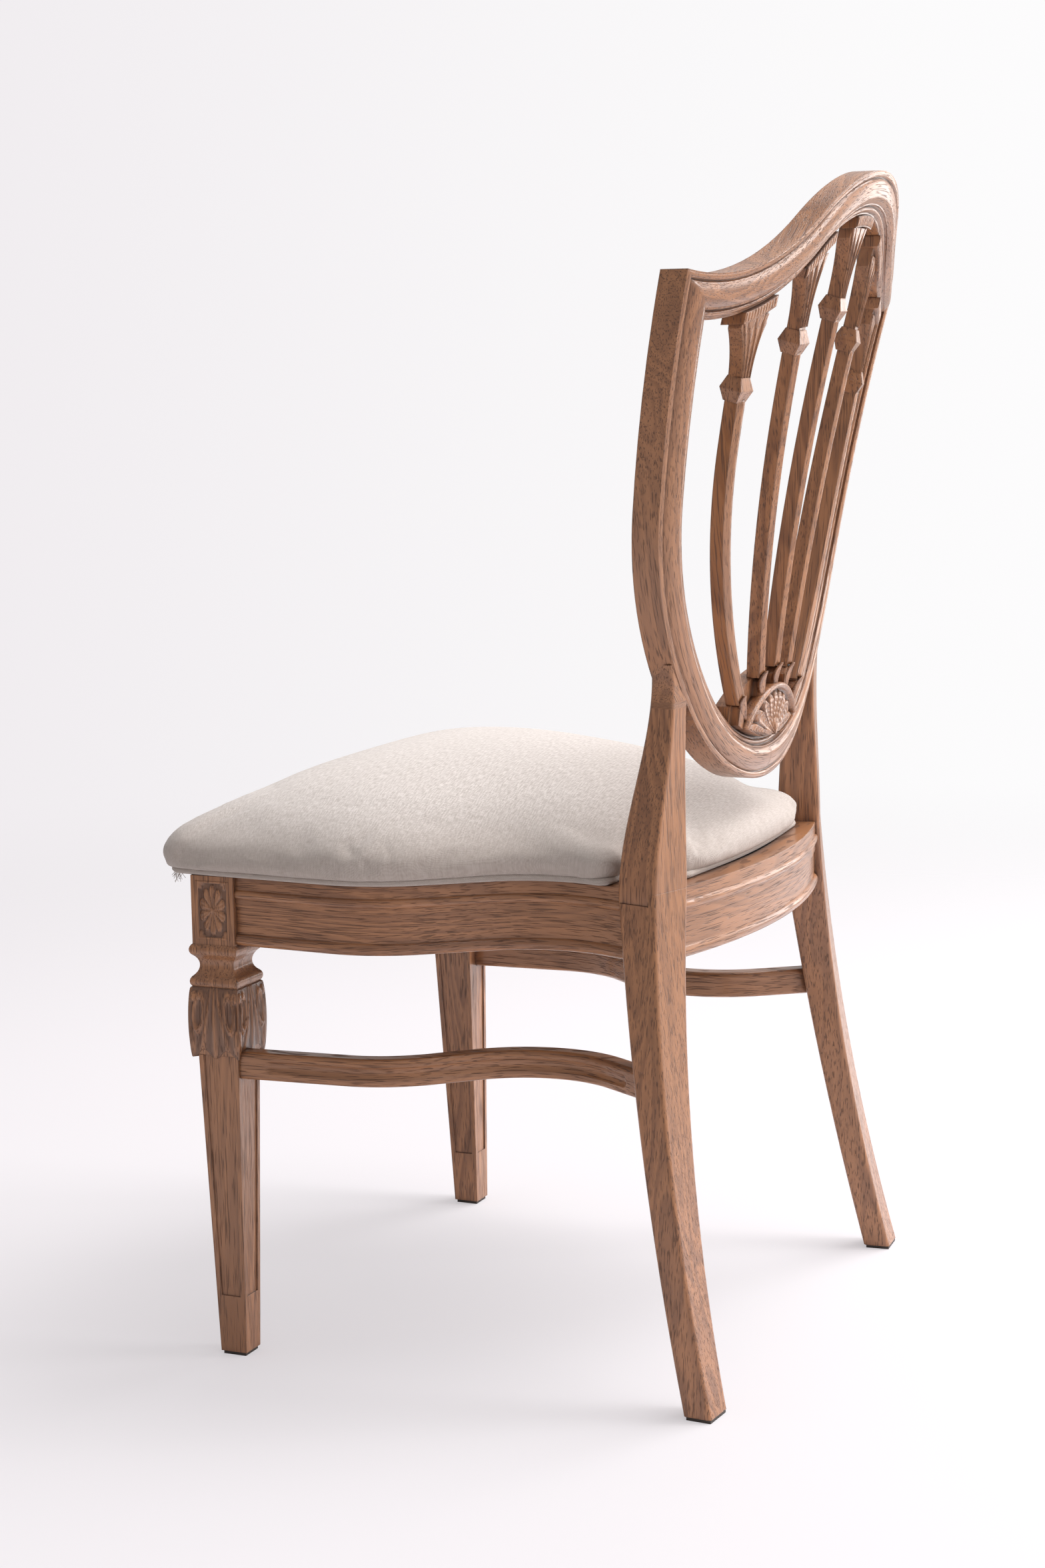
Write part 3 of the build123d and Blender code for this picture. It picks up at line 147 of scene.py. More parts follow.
BULGE_HEIGHT = 16.0 * MM        # the widest place of the sides and its reach,
BULGE_REACH = 34.0 * MM
GATHER_HEIGHT = 9.0 * MM        # the deepest place of the gathers and its reach,
GATHER_REACH = 11.0 * MM
DROP_HEIGHT = 10.0 * MM         # and the top of the part that comes down on the piping, and its reach
DROP_REACH = 8.0 * MM
CROWN_MARGIN = 0.22             # share of the pad's half width in which the crown becomes full
POST_CLEAR = 45.0 * MM          # the pad's sides are flat this close to a post, and full at twice as far
PLAN_POWER = 6                  # superellipse that stands for the pad's plan

# Stage, in metres: floor, and place, aim and size of each lamp
FLOOR_RADIUS = 9.0
FLOOR_FADE = (1.0, 3.2)         # where the floor begins to fade and is gone
LAMPS = {
    "window": ((-0.9, 2.6, 1.5), (0, 0, 0.5), 1.0),
    "side_wall": ((-2.6, 1.3, 0.9), (0, 0, 0.6), 1.3),
    "overhead": ((-0.9, 1.0, 2.6), (0, 0, 0.4), 2.2),
}

WOOD_NODES = {
    "upright": ("front_leg_left", "front_leg_right", "rear_leg_left", "rear_leg_right"),
    "lengthwise": ("side_rail_left", "side_rail_right", "side_stretcher_left", "side_stretcher_right"),
    "crosswise": ("front_rail", "rear_rail", "corner_brace_front_left", "corner_brace_front_right",
                  "corner_brace_rear_left", "corner_brace_rear_right"),
    "round_shield": ("back_frame",),
    "along_splats": ("splat_middle", "splat_inner_left", "splat_inner_right", "splat_base"),
    "round_splats": ("splat_outer_left", "splat_outer_right"),
}
STEEL_NODES = ("brace_screws", "panel_screws", "spigot_screws", "post_spigot_left", "post_spigot_right")
GLIDE_NODES = ("front_glide_left", "front_glide_right", "rear_glide_left", "rear_glide_right")


def colour(name, description, default):
    return FloatVectorProperty(name=name, description=description, default=default, size=3, min=0, max=1,
                               subtype="COLOR")


def length(name, description, default):
    return FloatProperty(name=name, description=description, default=default, min=0, subtype="DISTANCE",
                         unit="LENGTH")


def tilt(name, description, degrees):
    return FloatProperty(name=name, description=description, default=radians(degrees), subtype="ANGLE")


def number(name, description, default, highest=1000.0):
    return FloatProperty(name=name, description=description, default=default, min=0, max=highest)


def whole(name, description, default):
    return IntProperty(name=name, description=description, default=default, min=1)


class WoodLook(PropertyGroup):
    """Printed wood grain of the frame."""

    light: colour("Light grain", "Early wood between the rings", (0.44, 0.194, 0.086))
    dark: colour("Dark grain", "Late wood of the rings", (0.190, 0.077, 0.035))
    warm: colour("Warm patches", "Broad streaks of a warmer brown", (0.33, 0.145, 0.060))
    pore: colour("Pores", "Short dark pores along the grain", (0.065, 0.029, 0.018))
    # Colour of the dark glaze and of the painted shade in recesses and in the carving's low parts
    glaze: colour("Glaze", "Dark glaze left in the recesses", (0.085, 0.037, 0.021))
    rings: number("Rings", "Rings in each patch of grain", 13)
    edge: length("Edge", "Rounding of the edges as they shine", 1.2 * MM)
    splat_edge: length("Splat edge", "Rounding of the splats' edges as they shine", 2.2 * MM)
    carved_edge: length("Carved edge", "Rounding of the carving as it shines", 0.15 * MM)
    # Reach of the painted shade and glaze in recesses, and in the carving
    hollow: length("Hollow", "Reach of the glaze in the recesses", 8 * MM)
    carved_hollow: length("Carved hollow", "Reach of the glaze in the carving", 3 * MM)
    roughness: number("Roughness", "Of the wood under its clear coat", 0.27, 1)


class LinenLook(PropertyGroup):
    """Heathered twill of the seat pad."""

    light: colour("Light yarn", "Palest yarn", (0.93, 0.865, 0.83))
    dark: colour("Dark yarn", "Darkest yarn", (0.36, 0.295, 0.255))
    yarn: length("Yarn", "Width of a yarn", 0.75 * MM)
    twill: length("Twill", "Distance between the diagonal ribs", 2.0 * MM)
    streaks: number("Streaks", "Changes of tone along a metre of yarn", 130)
    shadow: length("Shadow", "Height above the seam up to which the cloth is darker", 60 * MM)


class PadShape(PropertyGroup):
    """Stuffed pad, its piping and its loose threads."""

    voxel: length("Cell", "Cell size of the pad's skin before it swells", 5 * MM)
    pressure: number("Pressure", "Stuffing pressure", 4)
    frames: whole("Steps", "Steps of the swelling", 20)
    shrink: number("Start", "Share of the plan size before the swelling", 0.985, 1)
    swell: length("Swell", "Furthest that a point may move", 6 * MM)
    fullness: length("Fullness", "How far the sides bulge over the piping", 9 * MM)
    even: whole("Even", "Rounds of evening out of the skin", 260)
    slope: length("Slope", "How far the rear of the pad lies lower", 12 * MM)
    pucker: length("Pucker", "Depth of the gathers above the seam", 0.25 * MM)
    drop: length("Drop", "How far the pad's rim comes down on its piping", 2.2 * MM)
    piping_out: length("Piping width", "Half width of the piping", 3.7 * MM)
    piping_up: length("Piping height", "Half height of the piping", 3.15 * MM)
    threads: whole("Threads", "Loose threads at the front corner", 16)


class CarvingShape(PropertyGroup):
    """Depth of the carved ornaments."""

    rosette: length("Rosette", "Height of the flower above its field", 2.0 * MM)
    leaf: length("Leaves", "Height of the leaves on the front legs", 2.3 * MM)
    fan: length("Fan", "Height of the fan's lobes", 5.0 * MM)
    tracery: length("Tracery", "Height of the ribs on the capitals", 1.5 * MM)
    ridge: length("Ridge", "Height of the ridge along each splat", 2.6 * MM)
    curl: length("Curl", "How far the leaves at the splats' feet curl out", 4.5 * MM)
    fan_lobes: whole("Lobes", "Lobes of the fan", 9)


class StudioSetup(PropertyGroup):
    """Camera and light."""

    camera: FloatVectorProperty(name="Camera", description="Place of the camera", size=3,
                                subtype="TRANSLATION", default=(2.3343, 0.9703, 0.8428))
    azimuth: tilt("Azimuth", "Round the chair from its front", 113.65)
    elevation: tilt("Elevation", "Above the horizon", 8.52)
    roll: tilt("Roll", "Of the picture", -0.97)
    lens: number("Lens", "Focal length in millimetres", 67.35)
    backdrop: colour("Backdrop", "Colour behind the chair", (0.86, 0.825, 0.85))
    floor: colour("Floor", "Colour of the floor", (0.84, 0.81, 0.83))
    cloud: colour("Clouds", "Colour of the floor's darker patches", (0.76, 0.73, 0.76))
    bright: colour("Bright side", "Colour of the backdrop towards its bright side", (0.98, 0.975, 0.98))
    glow: number("Glow", "Share of the floor's own brightness", 0.55, 1)
    window: number("Window", "Power of the window behind the chair, in watts", 31)
    side_wall: number("Side wall", "Power of the bright wall beside the chair, in watts", 18)
    overhead: number("Overhead", "Power of the softbox overhead, in watts", 82)
    world: number("World", "Strength of the light from the dark side", 0.40)
    sky: number("Sky", "What the bright side adds to it", 0.42)


# Shader expressions

class Value:
    """A shader socket: arithmetic on it adds Math nodes to its finish."""

    def __init__(self, finish, socket):
        self.finish = finish
        self.socket = socket

    def math(self, operation, *others):
        sockets = dict(enumerate((self, *others)))
        return self.finish.node("ShaderNodeMath", {"operation": operation}, sockets)

    def __add__(self, other):
        return self.math("ADD", other)

    def __sub__(self, other):
        return self.math("SUBTRACT", other)

    def __rsub__(self, other):
        return self.finish.node("ShaderNodeMath", {"operation": "SUBTRACT"}, {0: other, 1: self})

    def __mul__(self, other):
        return self.math("MULTIPLY", other)

    def __truediv__(self, other):
        return self.math("DIVIDE", other)

    def __pow__(self, other):
        return self.math("POWER", other)

    __radd__ = __add__
    __rmul__ = __mul__


class Finish:
    """A node tree in the making, with the shader that its values feed."""

    def __init__(self, tree, shader):
        self.tree = tree
        self.shader = shader

    def node(self, kind, settings=None, sockets=None, output=0):
        """Add a node of a kind, set it up, then give its sockets their values or links."""
        made = self.tree.nodes.new(kind)
        for key, value in (settings or {}).items():
            setattr(made, key, value)
        self.plug(made, sockets or {})
        return Value(self, made.outputs[output])

    def plug(self, node, sockets):
        for key, value in sockets.items():
            if isinstance(value, Value):
                self.tree.links.new(value.socket, node.inputs[key])
            else:
                node.inputs[key].default_value = value

    def feed(self, **sockets):
        """Feed the shader; underscores stand for the spaces in a socket's name."""
        self.plug(self.shader, {key.replace("_", " "): value for key, value in sockets.items()})

    def parts(self, vector):
        """The three numbers of a vector."""
        first = self.node("ShaderNodeSeparateXYZ", None, {0: vector})
        return [Value(self, socket) for socket in first.socket.node.outputs]

    def kept(self, name):
        """The three numbers of a map that a piece carries."""
        return self.parts(self.node("ShaderNodeAttribute", {"attribute_name": name}, output="Vector"))

    def position(self):
        return self.parts(self.node("ShaderNodeTexCoord", output="Object"))

    def noise(self, place, detail=2.0, roughness=0.5):
        """Soft noise from 0 to 1 at a place given as three numbers."""
        vector = self.node("ShaderNodeCombineXYZ", None, dict(enumerate(place)))
        return self.node("ShaderNodeTexNoise", None, {"Vector": vector, "Scale": 1.0, "Detail": detail,
                                                      "Roughness": roughness})

    def streaks(self, grain, fineness, detail, roughness=0.5):
        """Noise at a place along, across and through the grain, finer across it than along it."""
        along, across, through = grain
        low, high = fineness
        return self.noise((along * low, across * high, through * high), detail, roughness)

    def step(self, value, low, high):
        """0 below low, 1 above high, and smooth between."""
        return self.node("ShaderNodeMapRange", {"interpolation_type": "SMOOTHSTEP"},
                         {0: value, 1: low, 2: high, 3: 0.0, 4: 1.0})

    def blend(self, share, first, second):
        """Mix of two colours."""
        return self.node("ShaderNodeMix", {"data_type": "RGBA"}, {0: share, 6: first, 7: second}, output=2)

    def bump(self, strength, distance, height, **sockets):
        """Normals of a surface that is raised by a height."""
        sockets.update(Strength=strength, Distance=distance, Height=height)
        return self.node("ShaderNodeBump", None, sockets)

    def for_camera(self, other, share=1.0):
        """The shader, mixed by a share with another that only the camera sees."""
        camera = self.node("ShaderNodeLightPath", output="Is Camera Ray")
        plain = Value(self, self.shader.outputs[0])
        return self.node("ShaderNodeMixShader", None, {0: camera * share, 1: plain, 2: other})


def rgba(shade):
    return (*shade, 1.0)


def new_finish(name, **constants):
    """Finish of a new material; constants are set on its shader."""
    material = bpy.data.materials.new(name)
    material.use_nodes = True
    finish = Finish(material.node_tree, material.node_tree.nodes["Principled BSDF"])
    finish.material = material
    finish.feed(**constants)
    return finish


# How the grain runs: distances along, across and through it, from object coordinates

THROUGH = 0.12              # a bent rail's grain hardly changes through its thickness
RING_DRIFT = (2.6, 25)      # fineness along and across the grain, in waves to a metre
FIBRES = (11, 460)
PORES = (38, 1150)
BROAD_TONES = (3.5, 11)
TONE_AWAY = 2               # metres along the grain to a noise that doesn't follow the rings
SLUBS = 900                 # thick places in a metre of cloth, and soft clouds of tone
CLOUDS = 9


def upright(finish, x, y, z):
    return z, x, y


def lengthwise(finish, x, y, z):
    return y, z, x * THROUGH


def crosswise(finish, x, y, z):
    return x, z, y * THROUGH


def along_splats(finish, x, y, z):
    return z, x, y


def round_splats(finish, x, y, z):
    """Concentric with the curve of the outer splats on both sides."""
    centre_x, centre_z = splat_centre(OUTER)
    across = x.math("ABSOLUTE") - centre_x
    rise = z - centre_z
    return z, (across * across + rise * rise) ** 0.5, y


def round_shield(finish, x, y, z):
    """Round the middle of the shield on its rim, and upright on the two posts below it."""
    rise = z - SHIELD_MIDDLE
    reach = (x * x + rise * rise) ** 0.5
    turn = x.math("ARCTAN2", rise) * (NOSE_RADIUS + RIM_WIDTH)
    aside = x.math("ABSOLUTE")
    below = 1 - finish.step(z, POST_TOP - 3 * MM, POST_TOP + 3 * MM)
    post = below * finish.step(aside, POST_INNER - 2 * MM, POST_INNER + 2 * MM)
    return turn + (z - turn) * post, reach + (x - reach) * post, y


def along_rim(finish, x, y, z):
    """Along and across the moulding of the rim, from the map that it carries."""
    along, across = finish.kept("run")[:2]
    return along, across, y


def wood(name, look, lay, edge, hollow, carved=False):
    """Printed wood grain under a clear coat; edge rounds the edges as they shine.

    Rings are the contour lines of soft noise that is drawn out along the grain. Fibres and pores are finer
    noise, drawn out further. Painted shade with dark glaze: the colour darkens where ambient occlusion finds
    the surface closed in within the reach of a hollow. A carved piece holds its relief from 0 to 1 in an
    attribute, and its low parts are darkened the same way, as painted shade with glaze.
    """
    finish = new_finish(name, IOR=1.5, Coat_Roughness=0.16)
    along, across, through = grain = lay(finish, *finish.position())
    rings = (finish.streaks(grain, RING_DRIFT, 1.5) * look.rings).math("FRACT")
    late = finish.step(rings, 0.0, 0.72) * (1 - finish.step(rings, 0.80, 1.0))
    fibre = finish.streaks(grain, FIBRES, 3.0, 0.6)
    pores = finish.step(finish.streaks(grain, PORES, 1.0), 0.55, 0.67)
    tone = finish.step(finish.streaks((along + TONE_AWAY, across, through), BROAD_TONES, 1.0), 0.40, 0.62)
    shade = finish.blend(late * 0.52 + fibre * 0.48, rgba(look.dark), rgba(look.light))
    shade = finish.blend(tone * 0.45, shade, rgba(look.warm))
    shade = finish.blend(pores * 0.65, shade, rgba(look.pore))
    # Painted shade with dark glaze: darker where ambient occlusion finds the surface closed in
    recess_shade = 1 - finish.node("ShaderNodeAmbientOcclusion", {"samples": 4}, {"Distance": hollow}, "AO")
    shade = finish.blend(finish.step(recess_shade, 0.08, 0.7) * 0.75, shade, rgba(look.glaze))
    if carved:
        # Painted shade with dark glaze: the carving's low parts darken by their relief
        raised = finish.node("ShaderNodeAttribute", {"attribute_name": "relief"}, output="Fac")
        shade = finish.blend((1 - finish.step(raised, 0.0, 0.7)) * 0.68, shade, rgba(look.glaze))
    rounded = finish.node("ShaderNodeBevel", {"samples": 4}, {"Radius": edge})
    relief = finish.bump(0.7, 0.5 * MM, fibre * 0.45 - pores * 0.9, Normal=rounded)
    finish.feed(Base_Color=shade, Roughness=look.roughness + fibre * 0.16 + pores * 0.15, Normal=relief,
                Coat_Weight=0.45 - pores * 0.4)
    return finish.material


def linen(name, look):
    """Heathered twill in the cloth's own map.

    Two sets of yarns vary in tone along their length and are crossed by diagonal ribs.
    """
    finish = new_finish(name, Sheen_Weight=0.25, Sheen_Roughness=0.5, Specular_IOR_Level=0.2)
    warp, weft, above = finish.kept("weave")
    rib = ((warp + weft) * (tau / look.twill)).math("SINE")
    over = (warp * (tau / look.yarn)).math("SINE")
    under = (weft * (tau / look.yarn)).math("SINE")
    fine = 0.7 / look.yarn
    long_yarn = finish.step(finish.noise((warp * fine, weft * look.streaks, 0.0), 2.0), 0.30, 0.72)
    cross_yarn = finish.step(finish.noise((warp * look.streaks, weft * fine, 9.0), 2.0), 0.30, 0.72)
    slub = finish.noise((warp * look.streaks, weft * SLUBS, 4.0), 1.0)
    cloud = finish.noise((warp * CLOUDS, weft * CLOUDS, 2.0), 2.0)
    tone = long_yarn * 0.22 + cross_yarn * 0.36 + slub * 0.15 + cloud * 0.10 + 0.15
    shade = finish.blend(tone + rib * 0.10, rgba(look.dark), rgba(look.light))
    # Painted shade: the cloth darkens towards the seam, up to the shadow height above it
    shade = finish.blend((1 - finish.step(above, 0.0, look.shadow)) * 0.72, shade, rgba(look.dark))
    relief = finish.bump(0.5, 0.3 * MM, rib * 0.35 + over * 0.2 + under * 0.2 + slub * 0.5)
    finish.feed(Base_Color=shade, Roughness=0.86 + slub * 0.1, Normal=relief)
    return finish.material


def mottled(name, dark, light, grain, low, high, **constants):
    """Plain moulded or rolled surface whose tone and gloss vary a little with noise of a given fineness."""
    finish = new_finish(name, **constants)
    place = finish.position()
    speck = finish.noise([part * grain for part in place], 3.0, 0.6)
    shade = finish.blend(speck, rgba(dark), rgba(light))
    relief = finish.bump(0.25, 0.2 * MM, speck)
    finish.feed(Base_Color=shade, Roughness=low + speck * (high - low), Normal=relief)
    return finish.material


# Surfaces

def field(rows, columns, low=0):
    """Places across from -1 to 1 and up from low to 1, as two grids."""
    return np.meshgrid(np.linspace(-1, 1, rows), np.linspace(low, 1, columns), indexing="ij")


def numbered(rows, columns):
    """Grid of point numbers, row by row."""
    return np.arange(rows * columns).reshape(rows, columns)


def unit(vectors):
    """The same directions at a length of 1."""
    return vectors / np.maximum(np.linalg.norm(vectors, axis=-1, keepdims=True), 1e-9)


def quads(index):
    """Corner numbers of the quads between neighbouring rows and columns of a grid of point numbers."""
    corners = [index[:-1, :-1], index[1:, :-1], index[1:, 1:], index[:-1, 1:]]
    return np.stack(corners, axis=-1).reshape(-1, 4)


def wrapped(index, axis):
    """A grid of point numbers with its first row or column repeated at the end."""
    return np.concatenate([index, np.take(index, [0], axis=axis)], axis=axis)


def shell(front, back):
    """Points and faces of a closed shell: two like grids and the strip that joins their rims."""
    rows, columns = front.shape[:2]
    index = numbered(rows, columns)
    rim = np.concatenate([index[0], index[1:, -1], index[-1, -2::-1], index[-2:0:-1, 0]])
    strip = wrapped(np.stack([rim, rim + rows * columns]), 1)
    faces = np.concatenate([quads(index), quads(index) + rows * columns, quads(strip)])
    return np.concatenate([front.reshape(-1, 3), back.reshape(-1, 3)]), faces


def relief_shell(x, y, z, over, under, relief):
    """Closed shell on a face that looks to the rear, its two skins at heights over and under the face."""
    skins = [np.stack([x, y + height, z], axis=-1) for height in (over, under)]
    return *shell(*skins), np.stack([relief, relief])


def linked(name, data):
    """New object in the scene, at the origin."""
    made = bpy.data.objects.new(name, data)
    bpy.context.scene.collection.objects.link(made)
    return made


def piece(name, points, faces, material, body):
    """New piece from its points and faces, which are turned outwards."""
    mesh = bpy.data.meshes.new(name)
    mesh.from_pydata(points.reshape(-1, 3).tolist(), [], faces.tolist())
    tidy = bmesh.new()
    tidy.from_mesh(mesh)
    bmesh.ops.recalc_face_normals(tidy, faces=tidy.faces)
    tidy.to_mesh(mesh)
    tidy.free()
    mesh.shade_smooth()
    return place_piece(name, mesh, material, body)


def carve(name, shape, material):
    """New piece of the frame from its points, faces and relief, which is kept on its points."""
    points, faces, relief = shape
    made = piece(name, points, faces, material, "frame")
    kept = made.data.attributes.new("relief", "FLOAT", "POINT")
    kept.data.foreach_set("value", relief.astype(np.float32).ravel())
    return made


def add_map(mesh, name, *parts):
    """Keep a map on the mesh's points: two or three distances in metres."""
    flat = np.zeros((len(mesh.vertices), 3), np.float32)
    for axis, part in enumerate(parts):
        flat[:, axis] = np.ravel(part)
    mesh.attributes.new(name, "FLOAT_VECTOR", "POINT").data.foreach_set("vector", flat.ravel())


def place_piece(name, mesh, material, body):
    """New object that rides on a body, with its material."""
    made = linked(name, mesh)
    mesh.materials.clear()
    mesh.materials.append(material)
    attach(made, body)
    return made


def points_of(mesh):
    flat = np.empty(len(mesh.vertices) * 3, np.float32)
    mesh.vertices.foreach_get("co", flat)
    return flat.reshape(-1, 3).astype(float)


def put_points(mesh, points):
    mesh.vertices.foreach_set("co", points.astype(np.float32).ravel())


def dress(nodes, material):
    for name in nodes:
        materials = frame["nodes"][name].data.materials
        materials.clear()
        materials.append(material)


# Rear face of the back, as on the frame

def shield_foot_y():
    """Rear face at the lowest point of the shield, read from the frame."""
    points = points_of(frame["nodes"]["back_frame"].data)
    foot = points[(np.abs(points[:, 0]) < 0.03) & (points[:, 2] < SHIELD_FOOT + 2 * MM)]
    return foot[:, 1].max()


SHIELD_FOOT_Y = shield_foot_y()


def back_y(x, z):
    """Leans back with the height, bellies forward midway, and bows with the square of the place across."""
    rise = (z - SHIELD_FOOT) / (SHIELD_TOP - SHIELD_FOOT)
    return (SHIELD_FOOT_Y + SHIELD_LEAN * rise - 4 * SHIELD_BELLY * rise * (1 - rise)
            - SHIELD_BOW * (x / SHIELD_BOW_HALF) ** 2)


def on_circle(centre, radius, angle):
    """Points at angles from straight down towards +X."""
    return np.stack([centre[0] + radius * np.sin(angle), centre[1] - radius * np.cos(angle)], axis=-1)


def angle_from(centre, point):
    return np.arctan2(point[0] - centre[0], centre[1] - point[1])


NOSE_CENTRE = (0, SHIELD_FOOT + NOSE_RADIUS)
BELLY_CENTRE = on_circle(NOSE_CENTRE, NOSE_RADIUS - BELLY_RADIUS, NOSE_TURN)
STILE_CENTRE = on_circle(BELLY_CENTRE, BELLY_RADIUS - STILE_RADIUS, BELLY_TURN)
CREST_CENTRE = (0, SHIELD_TOP - CREST_RADIUS)
HOLLOW_CENTRE = on_circle(CREST_CENTRE, CREST_RADIUS + HOLLOW_RADIUS, pi - CREST_TURN)


def shoulder(inset):
    """Corner where the stile meets the hollow of the crest, both moved inwards."""
    stile = STILE_RADIUS - inset
    way = HOLLOW_CENTRE - STILE_CENTRE
    span = np.hypot(*way)
    along = (stile ** 2 - (HOLLOW_RADIUS + inset) ** 2 + span ** 2) / (2 * span)
    aside = np.sqrt(stile ** 2 - along ** 2)
    return STILE_CENTRE + (along * way + aside * np.array([way[1], -way[0]])) / span


def rim_line(inset):
    """Closed outline of the shield moved inwards: five arcs on one side and their mirror image."""
    corner = shoulder(inset)
    half = np.concatenate([
        on_circle(NOSE_CENTRE, NOSE_RADIUS - inset, np.linspace(0, NOSE_TURN, 36)),
        on_circle(BELLY_CENTRE, BELLY_RADIUS - inset, np.linspace(NOSE_TURN, BELLY_TURN, 36)[1:]),
        on_circle(STILE_CENTRE, STILE_RADIUS - inset,
                  np.linspace(BELLY_TURN, angle_from(STILE_CENTRE, corner), 30)[1:]),
        on_circle(HOLLOW_CENTRE, HOLLOW_RADIUS + inset,
                  np.linspace(angle_from(HOLLOW_CENTRE, corner), -CREST_TURN, 40)[1:]),
        on_circle(CREST_CENTRE, CREST_RADIUS - inset, np.linspace(pi - CREST_TURN, pi, 30)[1:]),
    ])
    return np.concatenate([half, (half * [-1, 1])[-2:0:-1]])


def crest_z(x, inset):
    """Height of the crest's inner edge at a place across."""
    reach = CREST_RADIUS - inset
    if abs(x) < reach * sin(CREST_TURN):
        return CREST_CENTRE[1] + np.sqrt(reach ** 2 - x ** 2)
    return HOLLOW_CENTRE[1] - np.sqrt((HOLLOW_RADIUS + inset) ** 2 - (abs(x) - HOLLOW_CENTRE[0]) ** 2)


# Ornaments

def dome(distance):
    """Round section: 1 in the middle and 0 from a distance of 1 outwards."""
    return np.sqrt(np.clip(1 - distance ** 2, 0, 1))


def rosette_relief(across, up):
    """Ten-petalled flower with a leaf in each corner, over a field from -1 to 1 both ways.

    A petal is round across its own sector, rises outwards and ends in a round tip. The boss in the middle is
    a dome. A corner leaf is a dome about its corner whose reach varies in three lobes.
    """
    petals, boss, reach = 10, 0.16, 0.95
    out = np.hypot(across, up) / reach
    side = 2 * np.abs(np.arctan2(up, across) / tau * petals % 1 - 0.5)
    tip = np.clip((1 - 0.2 * side ** 2 - out) * 7, 0, 1) ** 0.5
    petal = dome(side) * tip * (0.45 + 0.45 * out)
    groove = 0.22 * np.exp(-(side / 0.22) ** 2) * np.clip(out * 2 - 0.4, 0, 1) * tip
    aside, above = 1 - np.abs(across), (1 - np.abs(up)) * FIELD_HALF_HEIGHT / FIELD_HALF_WIDTH
    lobes = 0.34 + 0.12 * np.abs(np.cos(3 * np.arctan2(above, aside)))
    leaf = 0.65 * dome(np.hypot(aside, above) / lobes)
    return np.maximum.reduce([petal - groove, dome(out / boss), leaf])


def acanthus_relief(across, up):
    """Leaf on one face of the block, across from -1 to 1 and up from 0 to 1, the same on both halves.

    Flutes are waves across lines that spread downwards from the top. Beside them stands a looped scroll, a
    ridge along a drawn-out ring, with a round eye above it and a drop below it.
    """
    side = np.abs(across)
    flow = side / (0.20 + 0.62 * (1 - up) ** 1.25)
    flutes = (1 - np.abs(np.sin(pi * 1.5 * flow))) * np.clip((1.35 - flow) * 3, 0, 1)
    ring = np.hypot((side - 0.62 - 0.14 * (0.6 - up)) / 0.19, (up - 0.62) / 0.27)
    scroll = np.exp(-((ring - 1) / 0.24) ** 2)
    eye = dome(np.hypot((side - 0.84) / 0.13, (up - 0.87) / 0.085))
    drop = dome(np.hypot((side - 0.88) / 0.12, (up - 0.22) / 0.20))
    spine = 0.55 * np.exp(-((side - 1) / 0.06) ** 2)
    return np.maximum.reduce([0.75 * flutes * (ring > 1.0), scroll, 1.1 * eye, 0.8 * drop, spine])


def fan_relief(turn, out, lobes):
    """Fan of lobes round a small shell, in a round rim.

    Turn is -1 to 1 over the half circle, and out is 0 in the heart and 1 on the rim. A lobe is hollow
    between its raised edges, ends in a round tip and is crossed by fine ribs.
    """
    side = 2 * np.abs((turn + 1) / 2 * lobes % 1 - 0.5)
    tip = np.clip((0.86 - 0.16 * side ** 2 - out) * 12, 0, 1) ** 0.5
    gap = np.clip((1 - side) / 0.26, 0, 1) ** 0.5
    ribs = 0.09 * np.cos(tau * 10 * out + 2 * side) * (1 - side)
    lobe = tip * gap * (0.66 + 0.26 * side ** 2 + 0.10 * out + ribs)
    heart = dome(out / 0.38) * (1.10 + 0.14 * np.cos(pi * turn * 8))
    rim = 1.15 * dome((out - 0.94) / 0.07)
    return np.maximum.reduce([lobe, heart, rim])


def rim_relief(inset):
    """Height of the rim's moulding above its rear face, by the distance from the outer edge.

    From outside in: a small round edge, a groove, a wide ovolo that rises inwards and rolls over, a step, a
    thin bead and a flat lip.
    """
    edge = 0.9 * MM * dome((inset - 2.9 * MM) / (2.3 * MM))
    rise = -2.9 * MM + 6.6 * MM * dome((20 * MM - inset) / (14.4 * MM))
    roll = 3.7 * MM - 5.4 * MM * ((inset - 20 * MM) / (7.4 * MM)) ** 2
    bead = -4.2 * MM + 2.4 * MM * dome((inset - 30.4 * MM) / (2.1 * MM))
    return np.select([inset < 5.3 * MM, inset < 20 * MM, inset < 27.4 * MM], [edge, rise, roll], bead)


def rim_moulding():
    """Moulding carried round the rim, with its back let into the frame."""
    stretches = ((0.7, 5.25, 9), (5.35, 27.3, 22), (27.5, 34.6, 13))
    inset = np.concatenate([np.linspace(*stretch) for stretch in stretches]) * MM
    heights = np.append(rim_relief(inset), [RIM_SUNK, RIM_SUNK])
    lines = np.stack([rim_line(step) for step in (*inset, inset[-1], inset[0])], axis=1)
    x, z = lines[..., 0], lines[..., 1]
    grid = np.stack([x, back_y(x, z) + heights, z], axis=-1)
    # Relief for the painted shade with glaze: the sunk parts of the moulding darken
    relief = np.broadcast_to(heights / RIM_GLAZE_AND_SHADE + 1, x.shape)
    return grid, quads(wrapped(wrapped(numbered(*x.shape), 0), 1)), relief


def splat_rear(x, z):
    """Rear face of the splats: behind the rim's rear face at the foot, and in front of it at the crest."""
    rise = (z - SHIELD_FOOT) / (SHIELD_TOP - SHIELD_FOOT)
    return back_y(x, z) + SPLAT_PROUD - SPLAT_SETBACK * rise


def splat_centre(index):
    """Centre of the curve that a splat follows below its knee."""
    knee_x, knee_z, lean, radius = SPLAT_BENDS[index]
    return knee_x - radius * cos(lean), knee_z + radius * sin(lean)


